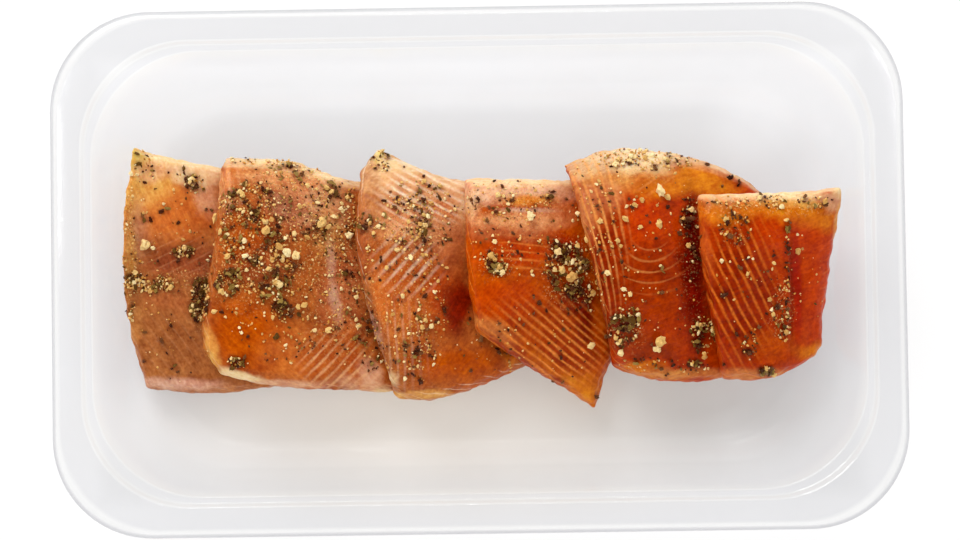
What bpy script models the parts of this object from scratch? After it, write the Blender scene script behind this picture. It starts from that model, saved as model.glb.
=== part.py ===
# A pack of salmon fillet: six raw slices laid like roof tiles in a shallow clear tray.
# The row runs along X, and the left edge of each slice lies on the slice before it.
# Metres, +Z up. The origin is the middle of the tray's underside.

import math

import bmesh
import bpy
import numpy as np

MM = 0.001

# Tray: driving dimensions
TRAY_LENGTH = 230.0 * MM
TRAY_WIDTH = 142.0 * MM
TRAY_HEIGHT = 36.0 * MM
WALL_THICKNESS = 0.6 * MM
LIP_WIDTH = 2.2 * MM  # the rim's outer edge, turned down
LIP_DROP = 2.6 * MM
LIP_BULGE = (0.3, 0.45)  # a point on the lip's curve, as shares of its width and drop
FLANGE_WIDTH = 6.2 * MM  # the flat top of the rim
STEP_DROP = 2.0 * MM  # the stacking step just inside the flange
STEP_RISER = (0.4 * MM, 1.7 * MM)  # how far the step's steep part runs in and down
LEDGE_WIDTH = 2.4 * MM
WALL_DRAFT = math.radians(15.0)  # how far the walls lean out
FLOOR_FILLET = 9.0 * MM
LIP_CORNER_RADIUS = 26.8 * MM
WALL_CORNER_RADIUS = 29.5 * MM
FLOOR_CORNER_RADIUS = 28.0 * MM
TRAY_SMOOTH_EDGES = math.radians(35.0)
CORNER_STEPS = 8
FILLET_STEPS = 5
HALVINGS = 24  # of the range in which a point's inset is looked for

# Slices: driving dimensions
SLICE_THICKNESS = 10.0 * MM
EDGE_ROUNDING = 3.5 * MM  # how far in from its outline a slice reaches its full thickness
WIDE_ROUNDING = {"slice_3": ("left", 7.0 * MM), "slice_6": ("right", 11.0 * MM)}
EDGE_SHARE = 0.55  # the thickness at the outline, as a share of the full one
LEAST_SHARE = 0.2  # no place is thinner than this share of the full thickness
UNDERSIDE_ROUNDING = 1.4 * MM
CROWN = 0.14  # how much thinner a slice is at its front and back ends
SWAY = 0.3  # 0 is a straight slice, 1 lies flat at both ends
DROOP = 4.5 * MM  # how far a left edge that would hang free sinks towards what is under it
DROOP_SHARE = 0.45  # the share of a slice's width over which it droops
FOOT_PASSES = 3  # of smoothing along the edge that a slice stands on
LEAN_PASSES = 10  # of smoothing along a slice's lean
DROOP_PASSES = 6
SMOOTH_EDGES = math.radians(50.0)  # a slice is shaded smooth across any edge less sharp than this
FIT_GAP = 0.3 * MM  # between pieces that touch
BED_CELL = 0.5 * MM  # the grid on which the height of what lies below is kept
FINE_ACROSS = 241  # lines at which a slice's top is read when the next one is laid on it
FINE_ALONG = 321

CURVE_STEPS = 40  # from one outline point to the next

# Places across a slice where its mesh has lines: close together at the rounded edges
ACROSS = (0.0, 0.035, 0.09, 0.18, 0.28, 0.38, 0.48, 0.58, 0.68, 0.78, 0.87, 0.94, 0.975, 1.0)
ALONG = (0.0, 0.025, 0.06, 0.13, 0.22, 0.32, 0.42, 0.52, 0.62, 0.72, 0.81, 0.89, 0.945, 0.978, 1.0)
BORDER_LINES = 1  # the outermost lines take no part in how the slice leans

# Outlines of the slices from above, in millimetres. Each edge is listed with both its corners:
# left and right from the front to the back, front and back from the left to the right.
OUTLINES = {
    "slice_1": {
        "left": ((-92.3, -30.0), (-96.4, -8.0), (-97.0, 20.0), (-94.4, 35.6)),
        "right": ((-52.5, -29.8), (-50.5, 0.0), (-54.0, 28.0)),
        "front": ((-92.3, -30.0), (-75.5, -31.5), (-52.5, -29.8)),
        "back": ((-94.4, 35.6), (-75.0, 31.3), (-54.0, 28.0)),
    },
    "slice_2": {
        "left": ((-71.0, -26.6), (-76.0, -17.0), (-72.4, 7.5), (-69.7, 33.2)),
        "right": ((-14.5, -29.0), (-17.5, 0.0), (-20.0, 24.0)),
        "front": ((-71.0, -26.6), (-57.6, -30.0), (-35.8, -31.3), (-14.5, -29.0)),
        "back": ((-69.7, 33.2), (-54.0, 32.2), (-38.5, 27.2), (-20.0, 24.0)),
    },
    "slice_3": {
        "left": ((-22.6, -33.4), (-29.0, -15.2), (-33.4, 7.0), (-32.2, 24.7), (-26.7, 34.6)),
        "right": ((18.0, -21.5), (17.0, 2.0), (14.0, 24.0)),
        "front": ((-22.6, -33.4), (-15.3, -34.6), (-5.6, -32.5), (10.8, -26.0), (18.0, -21.5)),
        "back": ((-26.7, 34.6), (-10.3, 27.4), (-3.0, 26.0), (14.0, 24.0)),
    },
    "slice_4": {
        "left": ((-1.0, -16.2), (-3.0, 2.0), (-3.4, 25.5)),
        "right": ((31.0, -36.8), (34.6, -27.0), (44.0, -8.0), (45.0, 10.0), (42.0, 24.5)),
        "front": ((-1.0, -16.2), (13.6, -26.0), (21.8, -30.9), (31.0, -36.8)),
        "back": ((-3.4, 25.5), (20.0, 25.6), (42.0, 24.5)),
    },
    "slice_5": {
        "left": ((36.1, -26.0), (34.1, -13.4), (30.0, 6.0), (24.4, 29.0)),
        "right": ((76.0, -26.8), (79.5, -4.0), (79.0, 20.6)),
        "front": ((36.1, -26.0), (46.4, -29.7), (62.0, -30.3), (76.0, -26.8)),
        "back": ((24.4, 29.0), (39.2, 34.3), (61.0, 30.6), (72.0, 26.5), (79.0, 20.6)),
    },
    "slice_6": {
        "left": ((66.0, -29.8), (63.3, -15.2), (60.6, 2.7), (60.1, 20.0)),
        "right": ((93.8, -21.0), (94.3, -8.8), (98.2, 14.5), (98.6, 21.4)),
        "front": ((66.0, -29.8), (74.0, -30.4), (81.0, -29.4), (90.2, -25.2), (93.8, -21.0)),
        "back": ((60.1, 20.0), (80.0, 20.1), (98.6, 21.4)),
    },
}

FLESH_COLOURS = {
    "slice_1": (0.50, 0.16, 0.06),
    "slice_2": (0.48, 0.14, 0.04),
    "slice_3": (0.45, 0.14, 0.05),
    "slice_4": (0.46, 0.10, 0.025),
    "slice_5": (0.45, 0.08, 0.02),
    "slice_6": (0.50, 0.07, 0.015),
}
FLESH_ROUGHNESS = 0.35
TRAY_COLOUR = (0.86, 0.87, 0.88)
TRAY_ALPHA = 0.3
TRAY_ROUGHNESS = 0.12


def clear_scene():
    for old in list(bpy.data.objects):
        bpy.data.objects.remove(old, do_unlink=True)


def plain_material(name, colour, roughness, alpha=1.0):
    material = bpy.data.materials.new(name)
    material.use_nodes = True
    shader = material.node_tree.nodes["Principled BSDF"]
    shader.inputs["Base Color"].default_value = (*colour, 1.0)
    shader.inputs["Roughness"].default_value = roughness
    shader.inputs["Metallic"].default_value = 0.0
    shader.inputs["Alpha"].default_value = alpha
    return material


def add_object(name, mesh, collection, material):
    new_object = bpy.data.objects.new(name, mesh)
    mesh.materials.append(material)
    collection.objects.link(new_object)
    return new_object


# ---- the tray ----


def corner_radius(inset):
    """The radius of a ring's corners. It grows from the lip to the wall, then shrinks to the floor."""
    wall = wall_top_inset()
    floor = floor_inset()
    stations = (0.0, wall, floor)
    return np.interp(inset, stations, (LIP_CORNER_RADIUS, WALL_CORNER_RADIUS, FLOOR_CORNER_RADIUS))


def wall_top_inset():
    return LIP_WIDTH + FLANGE_WIDTH + STEP_RISER[0] + LEDGE_WIDTH


def wall_foot():
    """(inset, height) where the straight wall meets the fillet of the floor."""
    lean = math.pi / 2 - WALL_DRAFT
    height = WALL_THICKNESS + FLOOR_FILLET * (1 - math.cos(lean))
    wall_drop = TRAY_HEIGHT - STEP_DROP - height
    return wall_top_inset() + wall_drop * math.tan(WALL_DRAFT), height


def floor_inset():
    lean = math.pi / 2 - WALL_DRAFT
    return wall_foot()[0] + FLOOR_FILLET * math.sin(lean)


def tray_profile():
    """(inset, height) of the tray's upper surface, from the edge of the lip in to the flat floor."""
    step_top = LIP_WIDTH + FLANGE_WIDTH
    profile = [
        (0.0, TRAY_HEIGHT - LIP_DROP),
        (LIP_BULGE[0] * LIP_WIDTH, TRAY_HEIGHT - LIP_BULGE[1] * LIP_DROP),
        (LIP_WIDTH, TRAY_HEIGHT),
        (step_top, TRAY_HEIGHT),
        (step_top + STEP_RISER[0], TRAY_HEIGHT - STEP_RISER[1]),
        (wall_top_inset(), TRAY_HEIGHT - STEP_DROP),
    ]
    lean = math.pi / 2 - WALL_DRAFT
    for step in range(FILLET_STEPS + 1):
        angle = lean * (1 - step / FILLET_STEPS)
        inset = floor_inset() - FLOOR_FILLET * math.sin(angle)
        height = WALL_THICKNESS + FLOOR_FILLET * (1 - math.cos(angle))
        profile.append((inset, height))
    return profile


def rounded_ring(inset, height):
    """Points of a rectangle with round corners, anticlockwise, that lies inset from the tray's edge."""
    radius = float(corner_radius(inset))
    centre_x = TRAY_LENGTH / 2 - inset - radius
    centre_y = TRAY_WIDTH / 2 - inset - radius
    points = []
    for quarter, (side_x, side_y) in enumerate(((1, 1), (-1, 1), (-1, -1), (1, -1))):
        for step in range(CORNER_STEPS + 1):
            angle = math.pi / 2 * (quarter + step / CORNER_STEPS)
            x = side_x * centre_x + radius * math.cos(angle)
            y = side_y * centre_y + radius * math.sin(angle)
            points.append((x, y, height))
    return points


def build_tray(collection):
    """The tray's upper surface as a loft of rings. Solidify gives it its wall, outward and down."""
    shell = bmesh.new()
    ring_before = []
    for inset, height in tray_profile():
        ring = [shell.verts.new(point) for point in rounded_ring(inset, height)]
        for index, vertex in enumerate(ring if ring_before else ()):
            after = (index + 1) % len(ring)
            shell.faces.new((ring_before[index], ring_before[after], ring[after], vertex))
        ring_before = ring
    shell.faces.new(ring_before)
    bmesh.ops.recalc_face_normals(shell, faces=shell.faces)
    mesh = bpy.data.meshes.new("tray")
    shell.to_mesh(mesh)
    shell.free()
    mesh.shade_smooth()
    mesh.set_sharp_from_angle(angle=TRAY_SMOOTH_EDGES)

    clear_plastic = plain_material("clear_plastic", TRAY_COLOUR, TRAY_ROUGHNESS, TRAY_ALPHA)
    tray = add_object("tray", mesh, collection, clear_plastic)
    wall = tray.modifiers.new("wall", "SOLIDIFY")
    wall.thickness = WALL_THICKNESS
    wall.offset = -1.0 if mesh.polygons[-1].normal.z > 0 else 1.0
    wall.use_even_offset = True
    return tray


# ---- what the slices rest on ----


class Bed:
    """The height of whatever lies highest in the tray so far, on a grid of small cells."""

    def __init__(self):
        half_x = TRAY_LENGTH / 2
        half_y = TRAY_WIDTH / 2
        self.xs = np.arange(-half_x, half_x + BED_CELL, BED_CELL)
        self.ys = np.arange(-half_y, half_y + BED_CELL, BED_CELL)
        grid_x, grid_y = np.meshgrid(self.xs, self.ys)
        self.heights = tray_height(grid_x, grid_y)

    def at(self, points):
        """Heights at points (..., 2), between the cells around each."""
        column = (points[..., 0] - self.xs[0]) / BED_CELL
        row = (points[..., 1] - self.ys[0]) / BED_CELL
        column_low = np.clip(column.astype(int), 0, len(self.xs) - 2)
        row_low = np.clip(row.astype(int), 0, len(self.ys) - 2)
        corners = [self.heights[row_low + a, column_low + b] for a in (0, 1) for b in (0, 1)]
        return np.max(corners, axis=0)

    def lay(self, points, heights):
        """Raises the bed to a slice's top, over the cells that hold the points."""
        column = np.rint((points[..., 0] - self.xs[0]) / BED_CELL).astype(int)
        row = np.rint((points[..., 1] - self.ys[0]) / BED_CELL).astype(int)
        for a in (-1, 0, 1):
            for b in (-1, 0, 1):
                np.maximum.at(self.heights, (row + a, column + b), heights + FIT_GAP)


def tray_height(x, y):
    """The tray's inner surface above (x, y), brought in by the gap that the slices keep."""
    outer = np.zeros_like(x)
    inner = np.full_like(x, floor_inset())
    for _ in range(HALVINGS):
        inset = (outer + inner) / 2
        radius = corner_radius(inset)
        beyond_x = np.abs(x) - (TRAY_LENGTH / 2 - inset - radius)
        beyond_y = np.abs(y) - (TRAY_WIDTH / 2 - inset - radius)
        to_corner = np.hypot(np.maximum(beyond_x, 0), np.maximum(beyond_y, 0))
        distance = to_corner + np.minimum(np.maximum(beyond_x, beyond_y), 0) - radius
        inside = distance < 0
        outer = np.where(inside, inset, outer)
        inner = np.where(inside, inner, inset)
    insets, heights = zip(*tray_profile()[2:])
    return np.interp(outer - 2 * FIT_GAP, insets, heights) + FIT_GAP


# ---- the slices ----


def smooth_curve(points, shares):
    """Places along a smooth curve through the points, at shares of its length from 0 to 1."""
    points = np.array(points) * MM
    ends = np.vstack([2 * points[0] - points[1], points, 2 * points[-1] - points[-2]])
    samples = []
    for index in range(len(points) - 1):
        before, start, end, after = ends[index : index + 4]
        for t in np.linspace(0, 1, CURVE_STEPS, endpoint=False):
            bend = 2 * before - 5 * start + 4 * end - after
            twist = 3 * start - before - 3 * end + after
            samples.append(start + 0.5 * t * (end - before + t * (bend + t * twist)))
    samples.append(points[-1])
    samples = np.array(samples)
    lengths = np.concatenate([[0], np.cumsum(np.linalg.norm(np.diff(samples, axis=0), axis=1))])
    wanted = np.array(shares) * lengths[-1]
    return np.stack([np.interp(wanted, lengths, samples[:, axis]) for axis in (0, 1)], axis=1)


def fill_outline(outline, across, along):
    """A grid of points [across, along] that fills the four edges of an outline, as a Coons patch."""
    left = smooth_curve(outline["left"], along)[None, :]
    right = smooth_curve(outline["right"], along)[None, :]
    front = smooth_curve(outline["front"], across)[:, None]
    back = smooth_curve(outline["back"], across)[:, None]
    u = np.array(across)[:, None, None]
    v = np.array(along)[None, :, None]
    corners = (1 - u) * ((1 - v) * left[:, :1] + v * left[:, -1:])
    corners = corners + u * ((1 - v) * right[:, :1] + v * right[:, -1:])
    return (1 - v) * front + v * back + (1 - u) * left + u * right - corners


def blurred(values, passes):
    for _ in range(passes):
        padded = np.pad(values, 1, mode="edge")
        values = (padded[:-2] + 2 * padded[1:-1] + padded[2:]) / 4
    return values


def underside(grid, bed, across):
    """(heights, support) of a slice that stands on its right edge and leans back to the left."""
    u = np.array(across)[:, None]
    lean = (1 - SWAY) * (1 - u) + SWAY * 0.5 * (1 + np.cos(np.pi * u))
    support = bed.at(grid)
    inner = slice(BORDER_LINES, len(across) - BORDER_LINES)
    foot = smooth_cover(support[-BORDER_LINES - 1], FOOT_PASSES)
    rise = np.max((support[inner] - foot) / lean[inner], axis=0)
    heights = foot + lean * smooth_cover(rise, LEAN_PASSES)
    reach = np.clip(1 - u / DROOP_SHARE, 0, 1) ** 2
    droop = np.clip(heights - support, 0, DROOP) * reach
    heights = heights - np.array([blurred(row, DROOP_PASSES) for row in droop])
    return np.maximum(heights, np.where(reach > 0, support, heights)), support


def smooth_cover(values, passes):
    """A smooth row of values, none of them under the one it replaces."""
    smooth = blurred(values, passes)
    return smooth + max(0.0, float(np.max(values - smooth)))


def edge_distance(points, edges):
    """How far each grid point is from the nearest of these rows of points."""
    offsets = points[:, :, None, :] - np.concatenate(edges)[None, None, :, :]
    return np.min(np.linalg.norm(offsets, axis=-1), axis=-1)


def slice_heights(name, grid, bed, across, along):
    """(lower, upper) heights of a slice over its grid."""
    lower, support = underside(grid, bed, across)
    edges = {"left": grid[0], "right": grid[-1], "front": grid[:, 0], "back": grid[:, -1]}
    distance = edge_distance(grid, list(edges.values()))
    wide_edge, width = WIDE_ROUNDING.get(name, ("left", EDGE_ROUNDING))
    wide_distance = edge_distance(grid, [edges[wide_edge]])
    rounding = np.clip(np.minimum(distance / EDGE_ROUNDING, wide_distance / width), 0, 1)
    share = EDGE_SHARE + (1 - EDGE_SHARE) * np.sqrt(1 - (1 - rounding) ** 2)
    v = np.array(along)[None, :]
    full = SLICE_THICKNESS * (1 - CROWN * (2 * v - 1) ** 2)
    upper = lower + full * share
    tuck = UNDERSIDE_ROUNDING * np.clip(1 - distance / (2 * UNDERSIDE_ROUNDING), 0, 1)
    lower = np.maximum(lower + tuck, support)
    return lower, np.maximum(upper, lower + LEAST_SHARE * SLICE_THICKNESS)


def slab_mesh(name, grid, lower, upper):
    """A closed slab: the grid's points at their upper and lower heights, joined round the outline."""
    slab = bmesh.new()
    count_u, count_v = grid.shape[:2]
    layers = []
    for heights in (lower, upper):
        layer = [
            [slab.verts.new((*grid[i, j], heights[i, j])) for j in range(count_v)]
            for i in range(count_u)
        ]
        layers.append(layer)
    for i in range(count_u - 1):
        for j in range(count_v - 1):
            for layer in layers:
                slab.faces.new((layer[i][j], layer[i + 1][j], layer[i + 1][j + 1], layer[i][j + 1]))
    rim = [(i, 0) for i in range(count_u)]
    rim += [(count_u - 1, j) for j in range(1, count_v)]
    rim += [(i, count_v - 1) for i in range(count_u - 2, -1, -1)]
    rim += [(0, j) for j in range(count_v - 2, 0, -1)]
    for (i, j), (k, m) in zip(rim, rim[1:] + rim[:1]):
        low, high = layers
        slab.faces.new((low[i][j], low[k][m], high[k][m], high[i][j]))
    bmesh.ops.recalc_face_normals(slab, faces=slab.faces)
    mesh = bpy.data.meshes.new(name)
    slab.to_mesh(mesh)
    slab.free()
    mesh.shade_smooth()
    mesh.set_sharp_from_angle(angle=SMOOTH_EDGES)
    return mesh


def refined(values):
    """Values (..., k) on a slice's grid, read finely between its lines along both directions."""
    for axis, count in ((0, FINE_ACROSS), (1, FINE_ALONG)):
        lines = values.shape[axis]
        places = np.linspace(0, lines - 1, count)
        low = np.minimum(places.astype(int), lines - 2)
        share = places - low
        share = share[:, None, None] if axis == 0 else share[None, :, None]
        before = np.take(values, low, axis=axis)
        after = np.take(values, low + 1, axis=axis)
        values = before * (1 - share) + after * share
    return values


def build_slice(name, collection, bed):
    outline = OUTLINES[name]
    grid = fill_outline(outline, ACROSS, ALONG)
    lower, upper = slice_heights(name, grid, bed, ACROSS, ALONG)
    flesh = plain_material(name + "_flesh", FLESH_COLOURS[name], FLESH_ROUGHNESS)
    add_object(name, slab_mesh(name, grid, lower, upper), collection, flesh)

    # The next slice lies on this one, so the bed rises to it
    bed.lay(refined(grid), refined(upper[..., None])[..., 0])


def main():
    clear_scene()
    collection = bpy.data.collections.new("pack_of_salmon_fillet")
    bpy.context.scene.collection.children.link(collection)
    build_tray(collection)
    bed = Bed()
    for name in OUTLINES:
        build_slice(name, collection, bed)


main()
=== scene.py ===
import math
import random

import bmesh
import bpy
import numpy as np
from mathutils import Matrix, Vector, noise
from mathutils.bvhtree import BVHTree


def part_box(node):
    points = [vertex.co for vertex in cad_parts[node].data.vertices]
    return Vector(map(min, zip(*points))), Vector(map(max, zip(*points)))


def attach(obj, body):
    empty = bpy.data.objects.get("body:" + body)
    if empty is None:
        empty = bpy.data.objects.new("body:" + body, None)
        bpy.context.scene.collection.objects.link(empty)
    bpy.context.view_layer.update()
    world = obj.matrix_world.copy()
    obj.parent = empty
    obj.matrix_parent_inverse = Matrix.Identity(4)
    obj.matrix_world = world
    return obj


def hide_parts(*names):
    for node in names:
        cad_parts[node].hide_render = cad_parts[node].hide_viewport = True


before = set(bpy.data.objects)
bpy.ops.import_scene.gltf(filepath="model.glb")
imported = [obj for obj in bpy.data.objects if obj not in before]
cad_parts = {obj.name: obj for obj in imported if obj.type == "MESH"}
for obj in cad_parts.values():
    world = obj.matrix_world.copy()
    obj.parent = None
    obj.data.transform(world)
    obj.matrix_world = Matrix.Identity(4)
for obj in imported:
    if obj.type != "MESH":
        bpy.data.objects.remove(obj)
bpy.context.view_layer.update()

# A clear tray with a row of six marinated salmon slices, seen from almost straight above.
# Sizes are in millimetres times mm. Places that follow the photograph are pixels of its 960 x 540 frame.

mm = 0.001
noiseShift = (7.3, 3.1, 11.9)  # how far apart the noises of two seeds are taken
noiseSpan = {"From Min": 0.3, "From Max": 0.7}  # where nearly all of a noise texture's values lie
trayLow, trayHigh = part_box("tray")
sliceNames = sorted(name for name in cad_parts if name.startswith("slice"))

cameraSetup = {
    "aim": Vector((0.45, 0.0, 30.0)) * mm,
    "lean": (0.012, -0.054),  # sideways parts of the unit vector from the aim to the camera
    "distance": 1000 * mm,
    "roll": math.radians(-0.84),
    "lens": 138.9,
    "sensor": 36.0,
    "frame": (960, 540),
}


def linear(code):  # sRGB hex to linear RGBA
    parts = [int(code[i : i + 2], 16) / 255 for i in (1, 3, 5)]
    return tuple(p / 12.92 if p <= 0.04045 else ((p + 0.055) / 1.055) ** 2.4 for p in parts) + (1.0,)


def setInputs(tree, node, values):  # to a number or colour, to an output, or to the first output of a node
    for key, value in values.items():
        if isinstance(value, bpy.types.Node):
            value = value.outputs[0]
        if isinstance(value, bpy.types.NodeSocket):
            tree.links.new(value, node.inputs[key])
        else:
            node.inputs[key].default_value = value


def addNode(tree, kind, inputs=None, ramp=None, **settings):
    made = tree.nodes.new("ShaderNode" + kind)
    for key, value in settings.items():
        setattr(made, key, value)
    setInputs(tree, made, inputs or {})
    if ramp:
        while len(made.color_ramp.elements) < len(ramp):
            made.color_ramp.elements.new(0.5)
        for stop, (position, colour) in zip(made.color_ramp.elements, ramp):
            stop.position = position
            stop.color = colour
    return made


def newMaterial(name):  # and its tree, its shader and the place on the piece
    material = bpy.data.materials.new(name)
    material.use_nodes = True
    tree = material.node_tree
    return material, tree, tree.nodes["Principled BSDF"], addNode(tree, "TexCoord").outputs["Object"]


def addToScene(name, data):
    made = bpy.data.objects.new(name, data)
    bpy.context.scene.collection.objects.link(made)
    return made


def newPiece(name, shape, material, smooth=True):
    mesh = bpy.data.meshes.new(name)
    shape.to_mesh(mesh)
    shape.free()
    if smooth:
        mesh.shade_smooth()
    piece = addToScene(name, mesh)
    mesh.materials.append(material)
    return piece


def readVectors(vectors, key):  # as rows of three numbers
    values = np.empty(len(vectors) * 3)
    vectors.foreach_get(key, values)
    return values.reshape(-1, 3)


def keepValues(mesh, name, values):  # one number for each corner, for the material to read
    mesh.attributes.new(name, "FLOAT", "POINT").data.foreach_set("value", values)


def bumpy(points, size, seed):  # smooth noise from -1 to 1 with bumps of this size, or of these three
    shift = Vector([part * seed for part in noiseShift])
    return np.array([noise.noise(Vector(p) + shift) for p in (points / np.array(size)).tolist()])


def smoothStep(values):
    values = np.clip(values, 0, 1)
    return values * values * (3 - 2 * values)


# The camera

back = Vector((*cameraSetup["lean"], 0))
back.z = math.sqrt(1 - back.length_squared)
right = (-back).cross(Vector((0, 1, 0))).normalized()
up = right.cross(-back)
roll = cameraSetup["roll"]
right, up = right * math.cos(roll) + up * math.sin(roll), up * math.cos(roll) - right * math.sin(roll)
eye = cameraSetup["aim"] + back * cameraSetup["distance"]
focalPixels = cameraSetup["lens"] / cameraSetup["sensor"] * cameraSetup["frame"][0]
pixelSize = cameraSetup["distance"] / focalPixels
middle = Vector(cameraSetup["frame"]) / 2


def makeCamera():
    data = bpy.data.cameras.new("camera")
    data.lens = cameraSetup["lens"]
    data.sensor_width = cameraSetup["sensor"]
    camera = addToScene("camera", data)
    turned = Matrix((right, up, back)).transposed().to_4x4()
    camera.matrix_world = Matrix.Translation(eye) @ turned
    bpy.context.scene.camera = camera


def pixelsOf(points):  # where points of the object lie in the photograph's frame
    away = points - np.array(eye)
    depth = -away @ np.array(back)
    x = middle.x + focalPixels * (away @ np.array(right)) / depth
    y = middle.y - focalPixels * (away @ np.array(up)) / depth
    return np.stack([x, y], axis=1)


def rayThrough(x, y):  # the way from the eye through a pixel
    return (right * (x - middle.x) / focalPixels - up * (y - middle.y) / focalPixels - back).normalized()


makeCamera()
print("camera placed")

# The tray

trayDesign = {
    "wall": 0.6 * mm,
    "lipWidth": 2.2 * mm,
    "lipDrop": 2.6 * mm,
    "flange": 6.0 * mm,
    "stepDrop": 2.0 * mm,
    "stepRun": 0.9 * mm,
    "ledge": 1.9 * mm,
    "draft": math.radians(15),
    "floorFillet": 9 * mm,
    "corners": (26.8 * mm, 29.5 * mm, 28 * mm),  # radii at the lip, the wall's top and the floor
    "rounding": 0.5 * mm,  # of every bend that has no radius of its own
    "roundingShare": 0.45,  # the most of the stretch beside it that a rounding takes
    "floorStart": 1.0 * mm,  # how far the last ring lies in on the flat floor
    "cornerSteps": 18,
    "sideSteps": (36, 22),  # along a short side and a long one
    "bendSteps": 4,
    "lipSteps": 8,
    "filletSteps": 14,
}


def trayWallTop():
    t = trayDesign
    return t["lipWidth"] + t["flange"] + t["stepRun"] + t["ledge"]


def trayProfile():
    # (inset, height) of the upper surface from the rounded lip to the floor, with each bend rounded
    t = trayDesign
    top = trayHigh.z
    lean = math.pi / 2 - t["draft"]
    fillet = t["floorFillet"]
    footHeight = t["wall"] + fillet * (1 - math.cos(lean))
    footInset = trayWallTop() + (top - t["stepDrop"] - footHeight) * math.tan(t["draft"])
    profile = []
    for step in range(t["lipSteps"] + 1):
        angle = math.pi / 2 * step / t["lipSteps"]
        inset = t["lipWidth"] * (1 - math.cos(angle))
        profile.append(Vector((inset, top - t["lipDrop"] * (1 - math.sin(angle)))))
    bends = [
        profile[-1],
        Vector((t["lipWidth"] + t["flange"], top)),
        Vector((t["lipWidth"] + t["flange"] + t["stepRun"], top - t["stepDrop"])),
        Vector((trayWallTop(), top - t["stepDrop"])),
        Vector((footInset, footHeight)),
    ]
    for before, bend, after in zip(bends, bends[1:], bends[2:]):
        toBefore = (before - bend).normalized()
        toAfter = (after - bend).normalized()
        shortest = min((before - bend).length, (after - bend).length)
        reach = min(t["rounding"], t["roundingShare"] * shortest)
        for step in range(t["bendSteps"] + 1):
            share = step / t["bendSteps"]
            start = bend + toBefore * reach * (1 - share)
            end = bend + toAfter * reach * share
            profile.append(start.lerp(end, share))
    floorInset = footInset + fillet * math.sin(lean)
    for step in range(t["filletSteps"] + 1):
        angle = lean * (1 - step / t["filletSteps"])
        height = t["wall"] + fillet * (1 - math.cos(angle))
        profile.append(Vector((floorInset - fillet * math.sin(angle), height)))
    profile.append(Vector((floorInset + t["floorStart"], t["wall"])))
    return profile, floorInset


def roundedRing(inset, floorInset):
    # points of a round-cornered rectangle, the same number at every inset
    t = trayDesign
    radius = float(np.interp(inset, (0, trayWallTop(), floorInset), t["corners"]))
    reach = Vector((trayHigh.x - inset - radius, trayHigh.y - inset - radius))
    points = []
    for quarter, (signX, signY) in enumerate(((1, 1), (-1, 1), (-1, -1), (1, -1))):
        corner = Vector((signX * reach.x, signY * reach.y))
        for step in range(t["cornerSteps"] + 1):
            angle = math.pi / 2 * (quarter + step / t["cornerSteps"])
            points.append(corner + radius * Vector((math.cos(angle), math.sin(angle))))
        last = points[-1]
        flip = (-1, 1) if quarter % 2 == 0 else (1, -1)
        goal = Vector((last.x * flip[0], last.y * flip[1]))
        count = t["sideSteps"][(quarter + 1) % 2]
        points += [last.lerp(goal, step / count) for step in range(1, count)]
    return points


trayPlastic = {
    "waves": (22 * mm, 0.8 * mm),  # the size and depth of slow waves in the sheet
    "grain": 2.5 * mm,  # the size of a fine unevenness in its gloss
    "smear": 0.14,  # how much roughness that adds
    "dullness": (0.08, 0.14),  # roughness of the rim and of the drawn walls
    "drawnFrom": 0.6 * mm,  # the rim turns into the drawn wall over this much either way
    "haze": (0.015, 0.035),  # least and most of a milky haze
    "mirrored": (0.05, 0.02, 0.5),  # seen square on, at the rim and on the drawn walls, and seen edge on
    "edgePower": 4.0,  # how quickly it turns mirror-like towards its edges
}


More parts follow.
